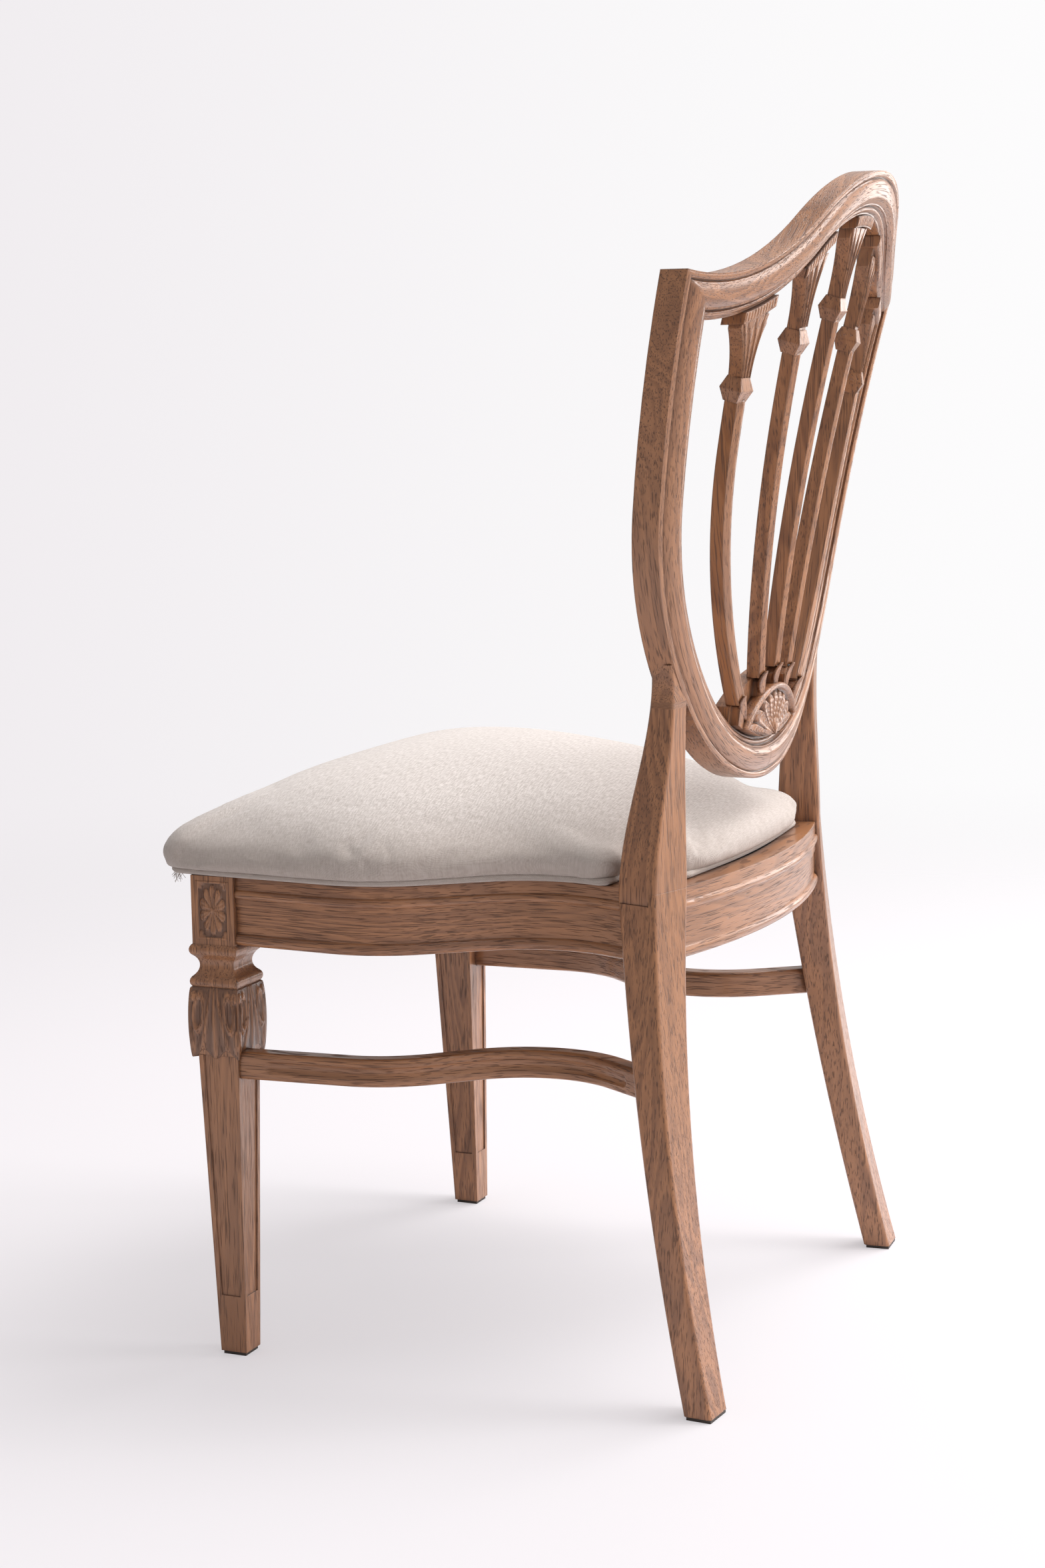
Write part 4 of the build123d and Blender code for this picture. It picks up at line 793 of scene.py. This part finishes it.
def splat_x(index, z):
    """Middle line of a splat, straight above its knee and round below it."""
    knee_x, knee_z, lean, radius = SPLAT_BENDS[index]
    centre_x, centre_z = splat_centre(index)
    straight = knee_x + (z - knee_z) * np.tan(lean)
    bent = centre_x + np.sqrt(np.maximum(radius ** 2 - (centre_z - z) ** 2, 0))
    return np.where((z < knee_z) & (radius > 0), bent, straight)


def splat_foot(index):
    """Height at which a splat meets the arched top of its base."""
    arch = (BASE_HALF_WIDTH ** 2 + (BASE_TOP - BASE_SIDE) ** 2) / (2 * (BASE_TOP - BASE_SIDE))
    return BASE_TOP - arch + np.sqrt(arch ** 2 - splat_x(index, BASE_SIDE) ** 2)


def ridge_shell(index, side, depth):
    """Rear of a splat from its foot up to its knot, roofed to a ridge along the middle line."""
    across, up = field(13, 91)
    low, high = splat_foot(index) + 1 * MM, KNOT_HEIGHTS[index] - KNOT_TALL / 2 + 1 * MM
    along = low + up * (high - low)
    lean = np.arctan((splat_x(index, along + MM) - splat_x(index, along - MM)) / (2 * MM))
    wide = across * (SPLAT_WIDTH / 2 - 0.1 * MM)
    x = splat_x(index, along) + wide * np.cos(lean)
    z = along - wide * np.sin(lean)
    roof = 1 - np.abs(across)
    return relief_shell(side * x, splat_rear(x, z), z, 0.1 * MM + depth * roof, -LET_IN, roof)


def calyx_shell(index, side, curl):
    """Leaf on the base at a splat's foot: ridged, pointed at both ends, its tip curled out to the rear."""
    across, up = field(21, 45)
    half = 0.3 * MM + CALYX_HALF * np.sin(pi * up ** 1.2) ** 0.8
    z = splat_foot(index) + CALYX_OVER - (1 - up) * CALYX_TALL
    x = splat_x(index, z) + across * half
    roof = 1 - np.abs(across)
    heights = CALYX_PROUD + 0.2 * MM + 1.8 * MM * roof * np.sin(pi * up) ** 0.5 + curl * up ** 4
    relief = 0.35 + 0.65 * roof
    return relief_shell(side * x, back_y(x, z), z, heights, heights - CALYX_THICK, relief)


def tracery_relief(across, up):
    """Three pointed lights side by side: ribs stand between them and close over each in two arcs."""
    bay = np.abs((across * 0.97 + 1) * 1.5 % 1 - 0.5) * 2
    head = np.clip((up - 0.62) / 0.30, 0, 1)
    light = 0.74 * (1 - head ** 1.7)
    return np.clip((bay - light) / 0.16, 0, 1)


def capital_shell(index, side, depth):
    """Tracery on the rear face of a capital that widens upwards with the square of the height."""
    across, up = field(61, 61)
    top = crest_z(splat_x(index, KNOT_HEIGHTS[index]), RIM_WIDTH) - 2 * ABACUS_TALL
    half = (5.8 - 3.2 * up + 15.0 * up ** 2) * MM
    lean = SPLAT_BENDS[index][2]
    along = (up - 1) * (CAPITAL_TALL - 1 * MM) + up * 8 * MM
    x = splat_x(index, top) + along * np.sin(lean) + across * half * np.cos(lean)
    z = top + along * np.cos(lean) - across * half * np.sin(lean)
    relief = tracery_relief(across, up)
    return relief_shell(side * x, splat_rear(x, z), z, 0.15 * MM + depth * relief, -LET_IN, relief)


def abacus_shell(index, side):
    """Upright reeds on the rear face of an abacus, which follows the rim's inner edge."""
    across, up = field(97, 13)
    top = crest_z(splat_x(index, KNOT_HEIGHTS[index]), RIM_WIDTH)
    x = splat_x(index, top) + across * (ABACUS_WIDE / 2 - 0.6 * MM)
    z = np.vectorize(crest_z)(x, RIM_WIDTH) - (0.6 * MM + (1 - up) * (ABACUS_TALL - 1.2 * MM))
    reeds = dome((across * 5.5 + 0.5) % 1 * 2 - 1) * dome(0.97 * (up * 2 - 1)) ** 0.5
    rear = splat_rear(x, z) + ABACUS_PROUD
    return relief_shell(side * x, rear, z, 0.1 * MM + 0.9 * MM * reeds, -LET_IN, reeds)


def leg_block(side):
    """Middle of the block of a front leg in plan; side is 1 on the sitter's left and -1 on the right."""
    low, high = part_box("front_leg_left")
    return side * (high.x - LEAF_HALF), low.y + LEAF_HALF


def rosette_shell(side, facing, depth):
    """Flower in a plain border on the outer or the front face of a leg's block."""
    across, up = field(61, 97, -1)
    overlap, inner_width, inner_height = 0.6 * MM, 0.86, 0.93
    border = (np.abs(across) > inner_width) | (np.abs(up) > inner_height)
    relief = np.where(border, 1.0, rosette_relief(across / inner_width, up / inner_height))
    heights = np.where(border, FIELD_SINK + 0.1 * MM, 0.15 * MM + depth * relief)
    middle_x, middle_y = leg_block(side)
    wide = across * (FIELD_HALF_WIDTH + overlap)
    tall = BLOCK_MIDDLE_Z + up * (FIELD_HALF_HEIGHT + overlap)
    skins = []
    for height in (heights, np.full_like(heights, -0.5 * MM)):
        out = BLOCK_HALF - FIELD_SINK + height
        if facing == "outer":
            skins.append(np.stack([middle_x + side * out, middle_y + wide, tall], axis=-1))
        else:
            skins.append(np.stack([middle_x + wide, middle_y - out, tall], axis=-1))
    return *shell(*skins), np.stack([relief, relief])


def leaf_collar(side, depth):
    """Leaves round all four faces of a leaf block, closed above and below inside the block.

    Round the block the point on each face is the face's own point moved out from the leg's axis, so that
    neighbouring faces meet on their common corner. The foot hangs down in three tips on each face.
    """
    across, up = (grid[:-1] for grid in field(49, 73))
    swell = np.sin(pi * up) ** 0.6
    relief = acanthus_relief(across, up)
    out = LEAF_HALF - LEAF_BULGE + 0.15 * MM + LEAF_BULGE * swell + depth * relief * (0.35 + 0.65 * swell)
    tips = 3.5 * MM * np.cos(pi * across * 2) * (1 - up) ** 3
    tall = LEAF_FOOT + 1 * MM + up * (LEAF_TOP - LEAF_FOOT - 1 * MM) - tips
    inner = np.full_like(out[:, :1], LEAF_HALF - 6 * MM)
    out = np.concatenate([inner, out, inner], axis=1)
    tall = np.concatenate([tall[:, :1], tall, tall[:, -1:] + 4 * MM], axis=1)
    wide = np.concatenate([across[:, :1], across, across[:, -1:]], axis=1) * out
    middle_x, middle_y = leg_block(side)
    faces = []
    for quarter in range(4):
        turn = quarter * pi / 2
        x = middle_x + out * cos(turn) - wide * sin(turn)
        y = middle_y + out * sin(turn) + wide * cos(turn)
        faces.append(np.stack([x, y, tall], axis=-1))
    ring = np.concatenate(faces)
    relief = np.concatenate([relief[:, :1], relief, relief[:, -1:]], axis=1)
    return ring, quads(wrapped(numbered(*ring.shape[:2]), 0)), np.concatenate([relief] * 4)


def fan_shell(depth, lobes):
    """Fan on the base of the splats: rays from its heart out to the arch above or to the rim beside it."""
    turn, out = field(169, 61, 0.02)
    heart = SHIELD_FOOT + RIM_WIDTH + 1 * MM
    angle = turn * pi / 2
    arch = (FAN_HALF_WIDTH ** 2 + (FAN_TOP - FAN_SIDE) ** 2) / (2 * (FAN_TOP - FAN_SIDE))
    drop = heart - (FAN_TOP - arch)
    to_arch = -drop * np.cos(angle) + np.sqrt(arch ** 2 - (drop * np.sin(angle)) ** 2)
    inner = NOSE_RADIUS - RIM_WIDTH - 0.3 * MM
    rise = SHIELD_FOOT + NOSE_RADIUS - heart
    to_rim = rise * np.cos(angle) + np.sqrt((rise * np.cos(angle)) ** 2 + inner ** 2 - rise ** 2)
    ray = np.minimum(to_arch, to_rim) * out
    x, z = ray * np.sin(angle), heart + ray * np.cos(angle)
    relief = fan_relief(turn, out, lobes)
    return relief_shell(x, back_y(x, z), z, depth * relief, -FAN_REST, relief)


# Seat pad

def plan_line(node, count):
    """Evenly spaced closed line round a flat node, seen from above.

    Its corner points are sorted by their angle about a middle from which the whole edge is in sight.
    """
    edge = np.unique(points_of(frame["nodes"][node].data)[:, :2].round(5), axis=0)
    middle = np.array([0, edge[:, 1].min() * 0.58 + edge[:, 1].max() * 0.42])
    order = np.argsort(np.arctan2(edge[:, 1] - middle[1], edge[:, 0]))
    edge = edge[np.append(order, order[0])]
    run = np.append(0, np.cumsum(np.hypot(*np.diff(edge, axis=0).T)))
    even = np.linspace(0, run[-1], count, endpoint=False)
    return np.stack([np.interp(even, run, edge[:, axis]) for axis in (0, 1)], axis=-1), run[-1]


def outward(line):
    """Unit vectors square to a closed plan line that runs anticlockwise, pointing out of it."""
    way = unit(np.roll(line, -1, axis=0) - np.roll(line, 1, axis=0))
    return np.stack([way[:, 1], -way[:, 0]], axis=-1)


def carried(line, height, out, up):
    """Tube whose section, given as distances out and up, goes round a closed plan line."""
    side = outward(line)
    plan = line[:, None, :] + side[:, None, :] * out[None, :, None]
    tall = np.broadcast_to(height[:, None] + up[None, :], plan.shape[:2])
    grid = np.concatenate([plan, tall[:, :, None]], axis=-1)
    return grid, quads(wrapped(wrapped(numbered(*tall.shape), 0), 1))


def remeshed_copy(node, name, voxel):
    """Even skin over a merged copy of a node."""
    mesh = frame["nodes"][node].data.copy()
    tidy = bmesh.new()
    tidy.from_mesh(mesh)
    bmesh.ops.remove_doubles(tidy, verts=tidy.verts, dist=0.01 * MM)
    tidy.to_mesh(mesh)
    tidy.free()
    rough = linked(name, mesh)
    cells = rough.modifiers.new("Cells", "REMESH")
    cells.mode = "VOXEL"
    cells.voxel_size = voxel
    skin = bpy.data.meshes.new_from_object(rough.evaluated_get(bpy.context.evaluated_depsgraph_get()))
    bpy.data.objects.remove(rough)
    return skin


def swollen(mesh, shape, held):
    """Points of a skin after it swells under the stuffing's pressure, with some points held."""
    pad = linked("swelling", mesh)
    pad.vertex_groups.new(name="sewn").add(np.flatnonzero(held).tolist(), 1.0, "REPLACE")
    cloth = pad.modifiers.new("Swell", "CLOTH")
    settings = cloth.settings
    settings.mass = 0.3
    settings.tension_stiffness = settings.compression_stiffness = 15
    settings.bending_stiffness = 0.5
    settings.use_pressure = True
    settings.uniform_pressure_force = shape.pressure
    settings.effector_weights.gravity = 0
    settings.vertex_group_mass = "sewn"
    cloth.collision_settings.use_collision = False
    for step in range(1, shape.frames + 1):
        bpy.context.scene.frame_set(step)
    settled = pad.evaluated_get(bpy.context.evaluated_depsgraph_get())
    after = points_of(settled.data)
    bpy.data.objects.remove(pad)
    bpy.context.scene.frame_set(1)
    return after


def evened(values, mesh, rounds):
    """Vectors on the points of a mesh, drawn halfway to the mean of their neighbours in each round."""
    edges = np.empty(len(mesh.edges) * 2, np.int32)
    mesh.edges.foreach_get("vertices", edges)
    near, far = np.concatenate([edges.reshape(-1, 2), edges.reshape(-1, 2)[:, ::-1]]).T
    count = np.bincount(near, minlength=len(values))
    for turn in range(rounds):
        means = [np.bincount(near, values[far, axis], len(values)) / count for axis in range(3)]
        values = (values + np.stack(means, axis=-1)) / 2
    return values


def post_plan():
    """Middle of the left post in plan, where it passes the pad."""
    points = points_of(frame["nodes"]["rear_leg_left"].data)
    return points[points[:, 2] > RAIL_TOP - 20 * MM][:, :2].mean(axis=0)


def stuffed(mesh, shape, seam, middle):
    """Points of the pad's skin, drawn in and then swollen, none moved further than its swell."""
    before = points_of(mesh)
    before[:, :2] = middle + (before[:, :2] - middle) * shape.shrink
    put_points(mesh, before)
    after = before
    move = swollen(mesh, shape, before[:, 2] < seam + SEWN_HEIGHT) - before
    far = np.linalg.norm(move, axis=1, keepdims=True)
    after = before + move * np.minimum(1, shape.swell / np.maximum(far, 1e-9))
    return after


def plan_reach(share):
    """1 on the rim of the superellipse that stands for the pad's plan, and less inside it."""
    return (np.abs(share) ** PLAN_POWER).sum(axis=1) ** (1 / PLAN_POWER)


def plan_slope(share, half):
    """Slope of that superellipse as unit vectors: nearly square to each side, and turning at the corners."""
    return unit(np.sign(share) * np.abs(share) ** (PLAN_POWER - 1) / half)


def crowned(points, mesh, shape, seam, share):
    """Points of the pad with its crown evened out, and lower towards the rear."""
    inside = np.clip((1 - plan_reach(share)) / CROWN_MARGIN, 0, 1)
    crown = np.clip((points[:, 2] - seam - CROWN_FOOT) / CROWN_RISE, 0, 1) * inside
    points = points + (evened(points, mesh, shape.even) - points) * crown[:, None]
    points[:, 2] -= shape.slope * np.clip(share[:, 1], 0, 1) ** 1.5 * crown
    return points


def bulge(points, above, reach):
    """Share of the sides' fullness from 0 to 1: most at one height on the rim, and none beside the posts."""
    plan = np.stack([np.abs(points[:, 0]), points[:, 1]], axis=-1)
    clear = np.clip((np.linalg.norm(plan - post_plan(), axis=1) - POST_CLEAR) / POST_CLEAR, 0, 1)
    eased = clear * clear * (3 - 2 * clear)
    return dome((above - BULGE_HEIGHT) / BULGE_REACH) * np.clip(reach, 0, 1) ** 6 * eased


def gathers(points, above, middle):
    """Uneven waves round the pad, strongest just above its seam."""
    turn = np.arctan2(points[:, 1] - middle[1], points[:, 0])
    waves = np.sin(turn * 64 + 3 * np.sin(turn * 7)) * (0.6 + 0.4 * np.sin(turn * 11 + 1))
    return waves * np.exp(-((above - GATHER_HEIGHT) / GATHER_REACH) ** 2)


def stuffed_pad(shape):
    """Pad swollen from the frame's pad, with full sides, gathers above its seam and the cloth's map.

    The map is the plan moved outwards by the depth below the crown, so that the yarns run straight down the
    sides.
    """
    mesh = remeshed_copy("seat_cushion", "seat_pad", shape.voxel)
    low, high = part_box("seat_cushion")
    middle = np.array([0, (low.y + high.y) / 2])
    half = np.array([(high.x - low.x) / 2, (high.y - low.y) / 2])
    points = stuffed(mesh, shape, low.z, middle)
    points = crowned(points, mesh, shape, low.z, (points[:, :2] - middle) / half)
    share = (points[:, :2] - middle) / half
    slope, reach = plan_slope(share, half), plan_reach(share)
    above = points[:, 2] - low.z
    points[:, :2] += slope * (shape.fullness * bulge(points, above, reach))[:, None]
    points[:, :2] += slope * (shape.pucker * gathers(points, above, middle))[:, None]
    points[:, 2] -= shape.drop * np.clip((DROP_HEIGHT - above) / DROP_REACH, 0, 1)
    put_points(mesh, points)
    mesh.update()
    plan = points[:, :2] + slope * np.clip(reach, 0, 1)[:, None] ** 3 * (high.z - points[:, 2:])
    add_map(mesh, "weave", plan[:, 0], plan[:, 1], above)
    mesh.shade_smooth()
    return mesh


def strands(paths, radius):
    """Points and faces of square threads along paths, one path a row, closed at both ends."""
    count, steps = paths.shape[:2]
    corner = np.arange(4)[:, None] * pi / 2
    way = unit(np.gradient(paths, axis=1))
    aslant = [0.3, 0.9, 0.3]
    side = unit(np.cross(way, aslant))
    other = np.cross(way, side)
    ring = (side[:, :, None] * np.cos(corner) + other[:, :, None] * np.sin(corner)) * radius
    index = np.arange(count * steps * 4).reshape(count, steps, 4)
    faces = [quads(wrapped(thread, 1)) for thread in index]
    return paths[:, :, None] + ring, np.concatenate([*faces, index[:, 0], index[:, -1]])


# Operators

class CHAIR_OT_finish_frame(Operator):
    """Give the resin frame its printed wood grain"""

    bl_idname = "chair.finish_frame"
    bl_label = "Finish the frame"

    def execute(self, context):
        look = context.scene.chair_wood
        for lay in (upright, lengthwise, crosswise, round_shield, along_splats, round_splats):
            edge = look.splat_edge if lay in (along_splats, round_splats) else look.edge
            material = wood("wood_" + lay.__name__, look, lay, edge, look.hollow)
            dress(WOOD_NODES[lay.__name__], material)
        for lay in (upright, along_rim):
            wood("carved_" + lay.__name__, look, lay, look.carved_edge, look.carved_hollow, carved=True)
        return {"FINISHED"}


class CHAIR_OT_finish_fittings(Operator):
    """Give the seat panel, screws, spigots, glides and board their materials"""

    bl_idname = "chair.finish_fittings"
    bl_label = "Finish the fittings"

    def execute(self, context):
        black = mottled("black_panel", (0.006, 0.006, 0.007), (0.02, 0.02, 0.022), 900, 0.5, 0.75)
        zinc = mottled("zinc_steel", (0.42, 0.42, 0.43), (0.62, 0.62, 0.62), 1500, 0.25, 0.45, Metallic=1.0)
        brown = mottled("glide", (0.03, 0.022, 0.018), (0.06, 0.045, 0.036), 1200, 0.45, 0.7)
        fibre = mottled("fibre_board", (0.20, 0.13, 0.08), (0.34, 0.24, 0.15), 700, 0.75, 0.95)
        dress(["seat_panel"], black)
        dress(STEEL_NODES, zinc)
        dress(GLIDE_NODES, brown)
        dress(["cushion_board"], fibre)
        return {"FINISHED"}


class CHAIR_OT_carve_legs(Operator):
    """Carve the rosettes and the leaves on the front legs"""

    bl_idname = "chair.carve_legs"
    bl_label = "Carve the front legs"

    def execute(self, context):
        carving = context.scene.chair_carving
        material = bpy.data.materials["carved_upright"]
        for name, side in (("left", 1), ("right", -1)):
            for facing in ("outer", "front"):
                shape = rosette_shell(side, facing, carving.rosette)
                carve("rosette_" + facing + "_" + name, shape, material)
            carve("leaf_collar_" + name, leaf_collar(side, carving.leaf), material)
        return {"FINISHED"}


class CHAIR_OT_carve_fan(Operator):
    """Carve the fan at the foot of the splats"""

    bl_idname = "chair.carve_fan"
    bl_label = "Carve the fan"

    def execute(self, context):
        carving = context.scene.chair_carving
        shape = fan_shell(carving.fan, carving.fan_lobes)
        made = carve("fan_shell", shape, bpy.data.materials["carved_upright"])
        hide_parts("fan_boss")
        return {"FINISHED"}


class CHAIR_OT_carve_back(Operator):
    """Carve the rim's moulding, the splats' ridges and leaves, and the capitals' tracery and reeds"""

    bl_idname = "chair.carve_back"
    bl_label = "Carve the back"

    def execute(self, context):
        carving = context.scene.chair_carving
        self.mould_rim()
        material = bpy.data.materials["carved_upright"]
        for name, index, side in SPLATS:
            bar = bpy.data.materials["wood_round_splats" if index == OUTER else "wood_along_splats"]
            carve("tracery_" + name, capital_shell(index, side, carving.tracery), material)
            carve("reeds_" + name, abacus_shell(index, side), material)
            carve("calyx_" + name, calyx_shell(index, side, carving.curl), material)
            carve("ridge_" + name, ridge_shell(index, side, carving.ridge), bar)
        return {"FINISHED"}

    def mould_rim(self):
        """Rim's moulding, with a map of the distances along and across it."""
        grid, faces, relief = rim_moulding()
        rim = carve("rim_moulding", (grid, faces, relief), bpy.data.materials["carved_along_rim"])
        steps = np.linalg.norm(np.diff(grid, axis=0, append=grid[:1]), axis=-1)
        run = np.cumsum(steps[:, :1], axis=0) - steps[:, :1]
        across = np.cumsum(np.linalg.norm(np.diff(grid, axis=1, prepend=grid[:, :1]), axis=-1), axis=1)
        add_map(rim.data, "run", run + 0 * across, across)


class CHAIR_OT_stuff_pad(Operator):
    """Stuff the linen seat pad"""

    bl_idname = "chair.stuff_pad"
    bl_label = "Stuff the pad"

    def execute(self, context):
        material = linen("linen_twill", context.scene.chair_linen)
        made = place_piece("seat_pad", stuffed_pad(context.scene.chair_pad), material, "pad")
        smooth = made.modifiers.new("Smooth", "SUBSURF")
        smooth.levels = smooth.render_levels = 1
        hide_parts("seat_cushion")
        return {"FINISHED"}


class CHAIR_OT_sew_piping(Operator):
    """Sew the piping round the pad's lower edge"""

    bl_idname = "chair.sew_piping"
    bl_label = "Sew the piping"

    def execute(self, context):
        shape = context.scene.chair_pad
        line, run = plan_line("cushion_board", 900)
        line = line + outward(line) * PIPING_SHIFT
        around = np.linspace(0, tau, 16, endpoint=False)
        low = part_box("cushion_piping")[0].z
        height = np.full(len(line), low + shape.piping_up)
        out, up = shape.piping_out * np.cos(around), shape.piping_up * np.sin(around)
        grid, faces = carried(line, height, out, up)
        made = piece("pad_piping", grid, faces, bpy.data.materials["linen_twill"], "pad")
        along = np.linspace(0, run, len(line))[:, None]
        add_map(made.data, "weave", *np.broadcast_arrays(along, around * shape.piping_up))
        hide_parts("cushion_piping")
        return {"FINISHED"}


class CHAIR_OT_fray_threads(Operator):
    """Fray a few threads below the piping at the front left corner"""

    bl_idname = "chair.fray_threads"
    bl_label = "Fray the threads"

    def execute(self, context):
        shape = context.scene.chair_pad
        line = plan_line("cushion_board", 900)[0]
        front_left = [0.4, -0.9]
        corner = line[np.argmax(line @ front_left)]
        chance = np.random.default_rng(5)
        start = np.append(corner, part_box("cushion_piping")[0].z + 1 * MM)
        start = start + chance.normal(0, 1, (shape.threads, 1, 3)) * [1.5 * MM, 2.5 * MM, 0.3 * MM]
        hang = chance.uniform(4, 10, (shape.threads, 1)) * MM
        drift = chance.normal(0, 2.2, (shape.threads, 2)) * MM
        curl = chance.uniform(0, tau, (shape.threads, 1))
        down = np.linspace(0, 1, 14)
        sway = np.stack([np.sin(down * 5 + curl), np.cos(down * 4 + curl)], axis=-1) * 0.8 * MM
        aside = drift[:, None, :] * down[:, None] ** 2 + sway * down[:, None]
        paths = start + np.concatenate([aside, (-hang * down)[..., None]], axis=-1)
        points, faces = strands(paths, 0.22 * MM)
        piece("loose_threads", points, faces, bpy.data.materials["linen_twill"], "pad")
        return {"FINISHED"}


class CHAIR_OT_set_stage(Operator):
    """Set the pale floor, the soft light and the camera"""

    bl_idname = "chair.set_stage"
    bl_label = "Set the stage"

    def execute(self, context):
        studio = context.scene.chair_studio
        self.lay_floor(studio)
        self.light_world(context.scene, studio)
        for name, (place, aim, size) in LAMPS.items():
            self.hang_lamp(name, place, aim, size, getattr(studio, name))
        self.place_camera(context.scene, studio)
        context.scene.view_settings.view_transform = "Standard"
        return {"FINISHED"}

    def lay_floor(self, studio):
        """Round floor that fades into the backdrop towards its rim."""
        rings, rays = np.linspace(0.02, 1, 40) ** 1.5 * FLOOR_RADIUS, np.linspace(0, tau, 96, endpoint=False)
        out, turn = np.meshgrid(rings, rays, indexing="ij")
        grid = np.stack([out * np.cos(turn), out * np.sin(turn), np.zeros_like(out)], axis=-1)
        index = numbered(*out.shape)
        faces = quads(wrapped(index, 1))[:, ::-1].tolist() + [index[0].tolist()]
        mesh = bpy.data.meshes.new("floor")
        mesh.from_pydata(grid.reshape(-1, 3).tolist(), [], faces)
        finish = new_finish("floor", Roughness=0.75, Specular_IOR_Level=0.2)
        x, y = finish.position()[:2]
        cloud = finish.noise((x * 1.6, y * 1.6, 0.0), 4.0)
        finish.feed(Base_Color=finish.blend(cloud * 0.3, rgba(studio.floor), rgba(studio.cloud)))
        far = finish.step((x * x + y * y) ** 0.5, *FLOOR_FADE)
        clear = finish.node("ShaderNodeBsdfTransparent")
        glow = finish.node("ShaderNodeEmission", None, {0: rgba(studio.backdrop), 1: 1.0})
        seen = finish.for_camera(glow, studio.glow)
        mixed = finish.node("ShaderNodeMixShader", None, {0: far, 1: seen, 2: clear})
        finish.plug(finish.tree.nodes["Material Output"], {"Surface": mixed})
        floor = linked("floor", mesh)
        mesh.materials.append(finish.material)

    def light_world(self, scene, studio):
        """Light from all round, stronger from above and behind; the camera sees a pale backdrop instead."""
        scene.world = bpy.data.worlds.new("studio")
        scene.world.use_nodes = True
        tree = scene.world.node_tree
        finish = Finish(tree, tree.nodes["Background"])
        x, y, z = finish.parts(finish.node("ShaderNodeTexCoord", output="Generated"))
        bright = finish.step(y * 0.75 - x * 0.45 + z * 0.5, -0.3, 1.0)
        finish.feed(Color=(1.0, 0.985, 0.985, 1), Strength=bright * studio.sky + studio.world)
        across = finish.step(y * 0.906 - x * 0.397, -0.30, 0.22)
        pale = finish.blend(across, rgba(studio.backdrop), rgba(studio.bright))
        seen = finish.node("ShaderNodeBackground", None, {0: pale, 1: 1.0})
        finish.plug(tree.nodes["World Output"], {"Surface": finish.for_camera(seen)})

    def hang_lamp(self, name, place, aim, size, power):
        lamp = bpy.data.lights.new(name, "AREA")
        lamp.size = size
        lamp.energy = power
        made = linked(name, lamp)
        made.location = place
        made.rotation_euler = (Vector(aim) - Vector(place)).to_track_quat("-Z", "Y").to_euler()

    def place_camera(self, scene, studio):
        """Camera at the photograph's place, its axes from azimuth, elevation and roll."""
        flat = cos(studio.elevation)
        back = Vector((sin(studio.azimuth) * flat, -cos(studio.azimuth) * flat, sin(studio.elevation)))
        right = (-back).cross(Vector((0, 0, 1))).normalized()
        over = right.cross(-back)
        turned = right * cos(studio.roll) + over * sin(studio.roll)
        raised = over * cos(studio.roll) - right * sin(studio.roll)
        lens = bpy.data.cameras.new("camera")
        lens.lens = studio.lens
        lens.sensor_width = 36
        axes = Matrix((turned, raised, back)).transposed().to_4x4()
        scene.camera = linked("camera", lens)
        scene.camera.matrix_world = Matrix.Translation(studio.camera) @ axes


class CHAIR_PT_looks(Panel):
    """Lists the steps that dress the chair"""

    bl_label = "Chair"
    bl_space_type = "VIEW_3D"
    bl_region_type = "UI"
    bl_category = "Chair"

    def draw(self, context):
        for step in STEPS:
            self.layout.operator(step.bl_idname)


GROUPS = {
    "chair_wood": WoodLook,
    "chair_linen": LinenLook,
    "chair_pad": PadShape,
    "chair_carving": CarvingShape,
    "chair_studio": StudioSetup,
}
STEPS = (CHAIR_OT_finish_frame, CHAIR_OT_finish_fittings, CHAIR_OT_carve_legs, CHAIR_OT_carve_fan,
         CHAIR_OT_carve_back, CHAIR_OT_stuff_pad, CHAIR_OT_sew_piping, CHAIR_OT_fray_threads,
         CHAIR_OT_set_stage)


def register():
    for item in (*GROUPS.values(), *STEPS, CHAIR_PT_looks):
        bpy.utils.register_class(item)
    for name, group in GROUPS.items():
        setattr(bpy.types.Scene, name, PointerProperty(type=group))


def unregister():
    for name in GROUPS:
        delattr(bpy.types.Scene, name)
    for item in (CHAIR_PT_looks, *reversed(STEPS), *GROUPS.values()):
        bpy.utils.unregister_class(item)


def main():
    register()
    bpy.ops.chair.finish_frame()
    bpy.ops.chair.finish_fittings()
    bpy.ops.chair.carve_legs()
    bpy.ops.chair.carve_fan()
    bpy.ops.chair.carve_back()
    bpy.ops.chair.stuff_pad()
    bpy.ops.chair.sew_piping()
    bpy.ops.chair.fray_threads()
    bpy.ops.chair.set_stage()


if __name__ == "__main__":
    main()
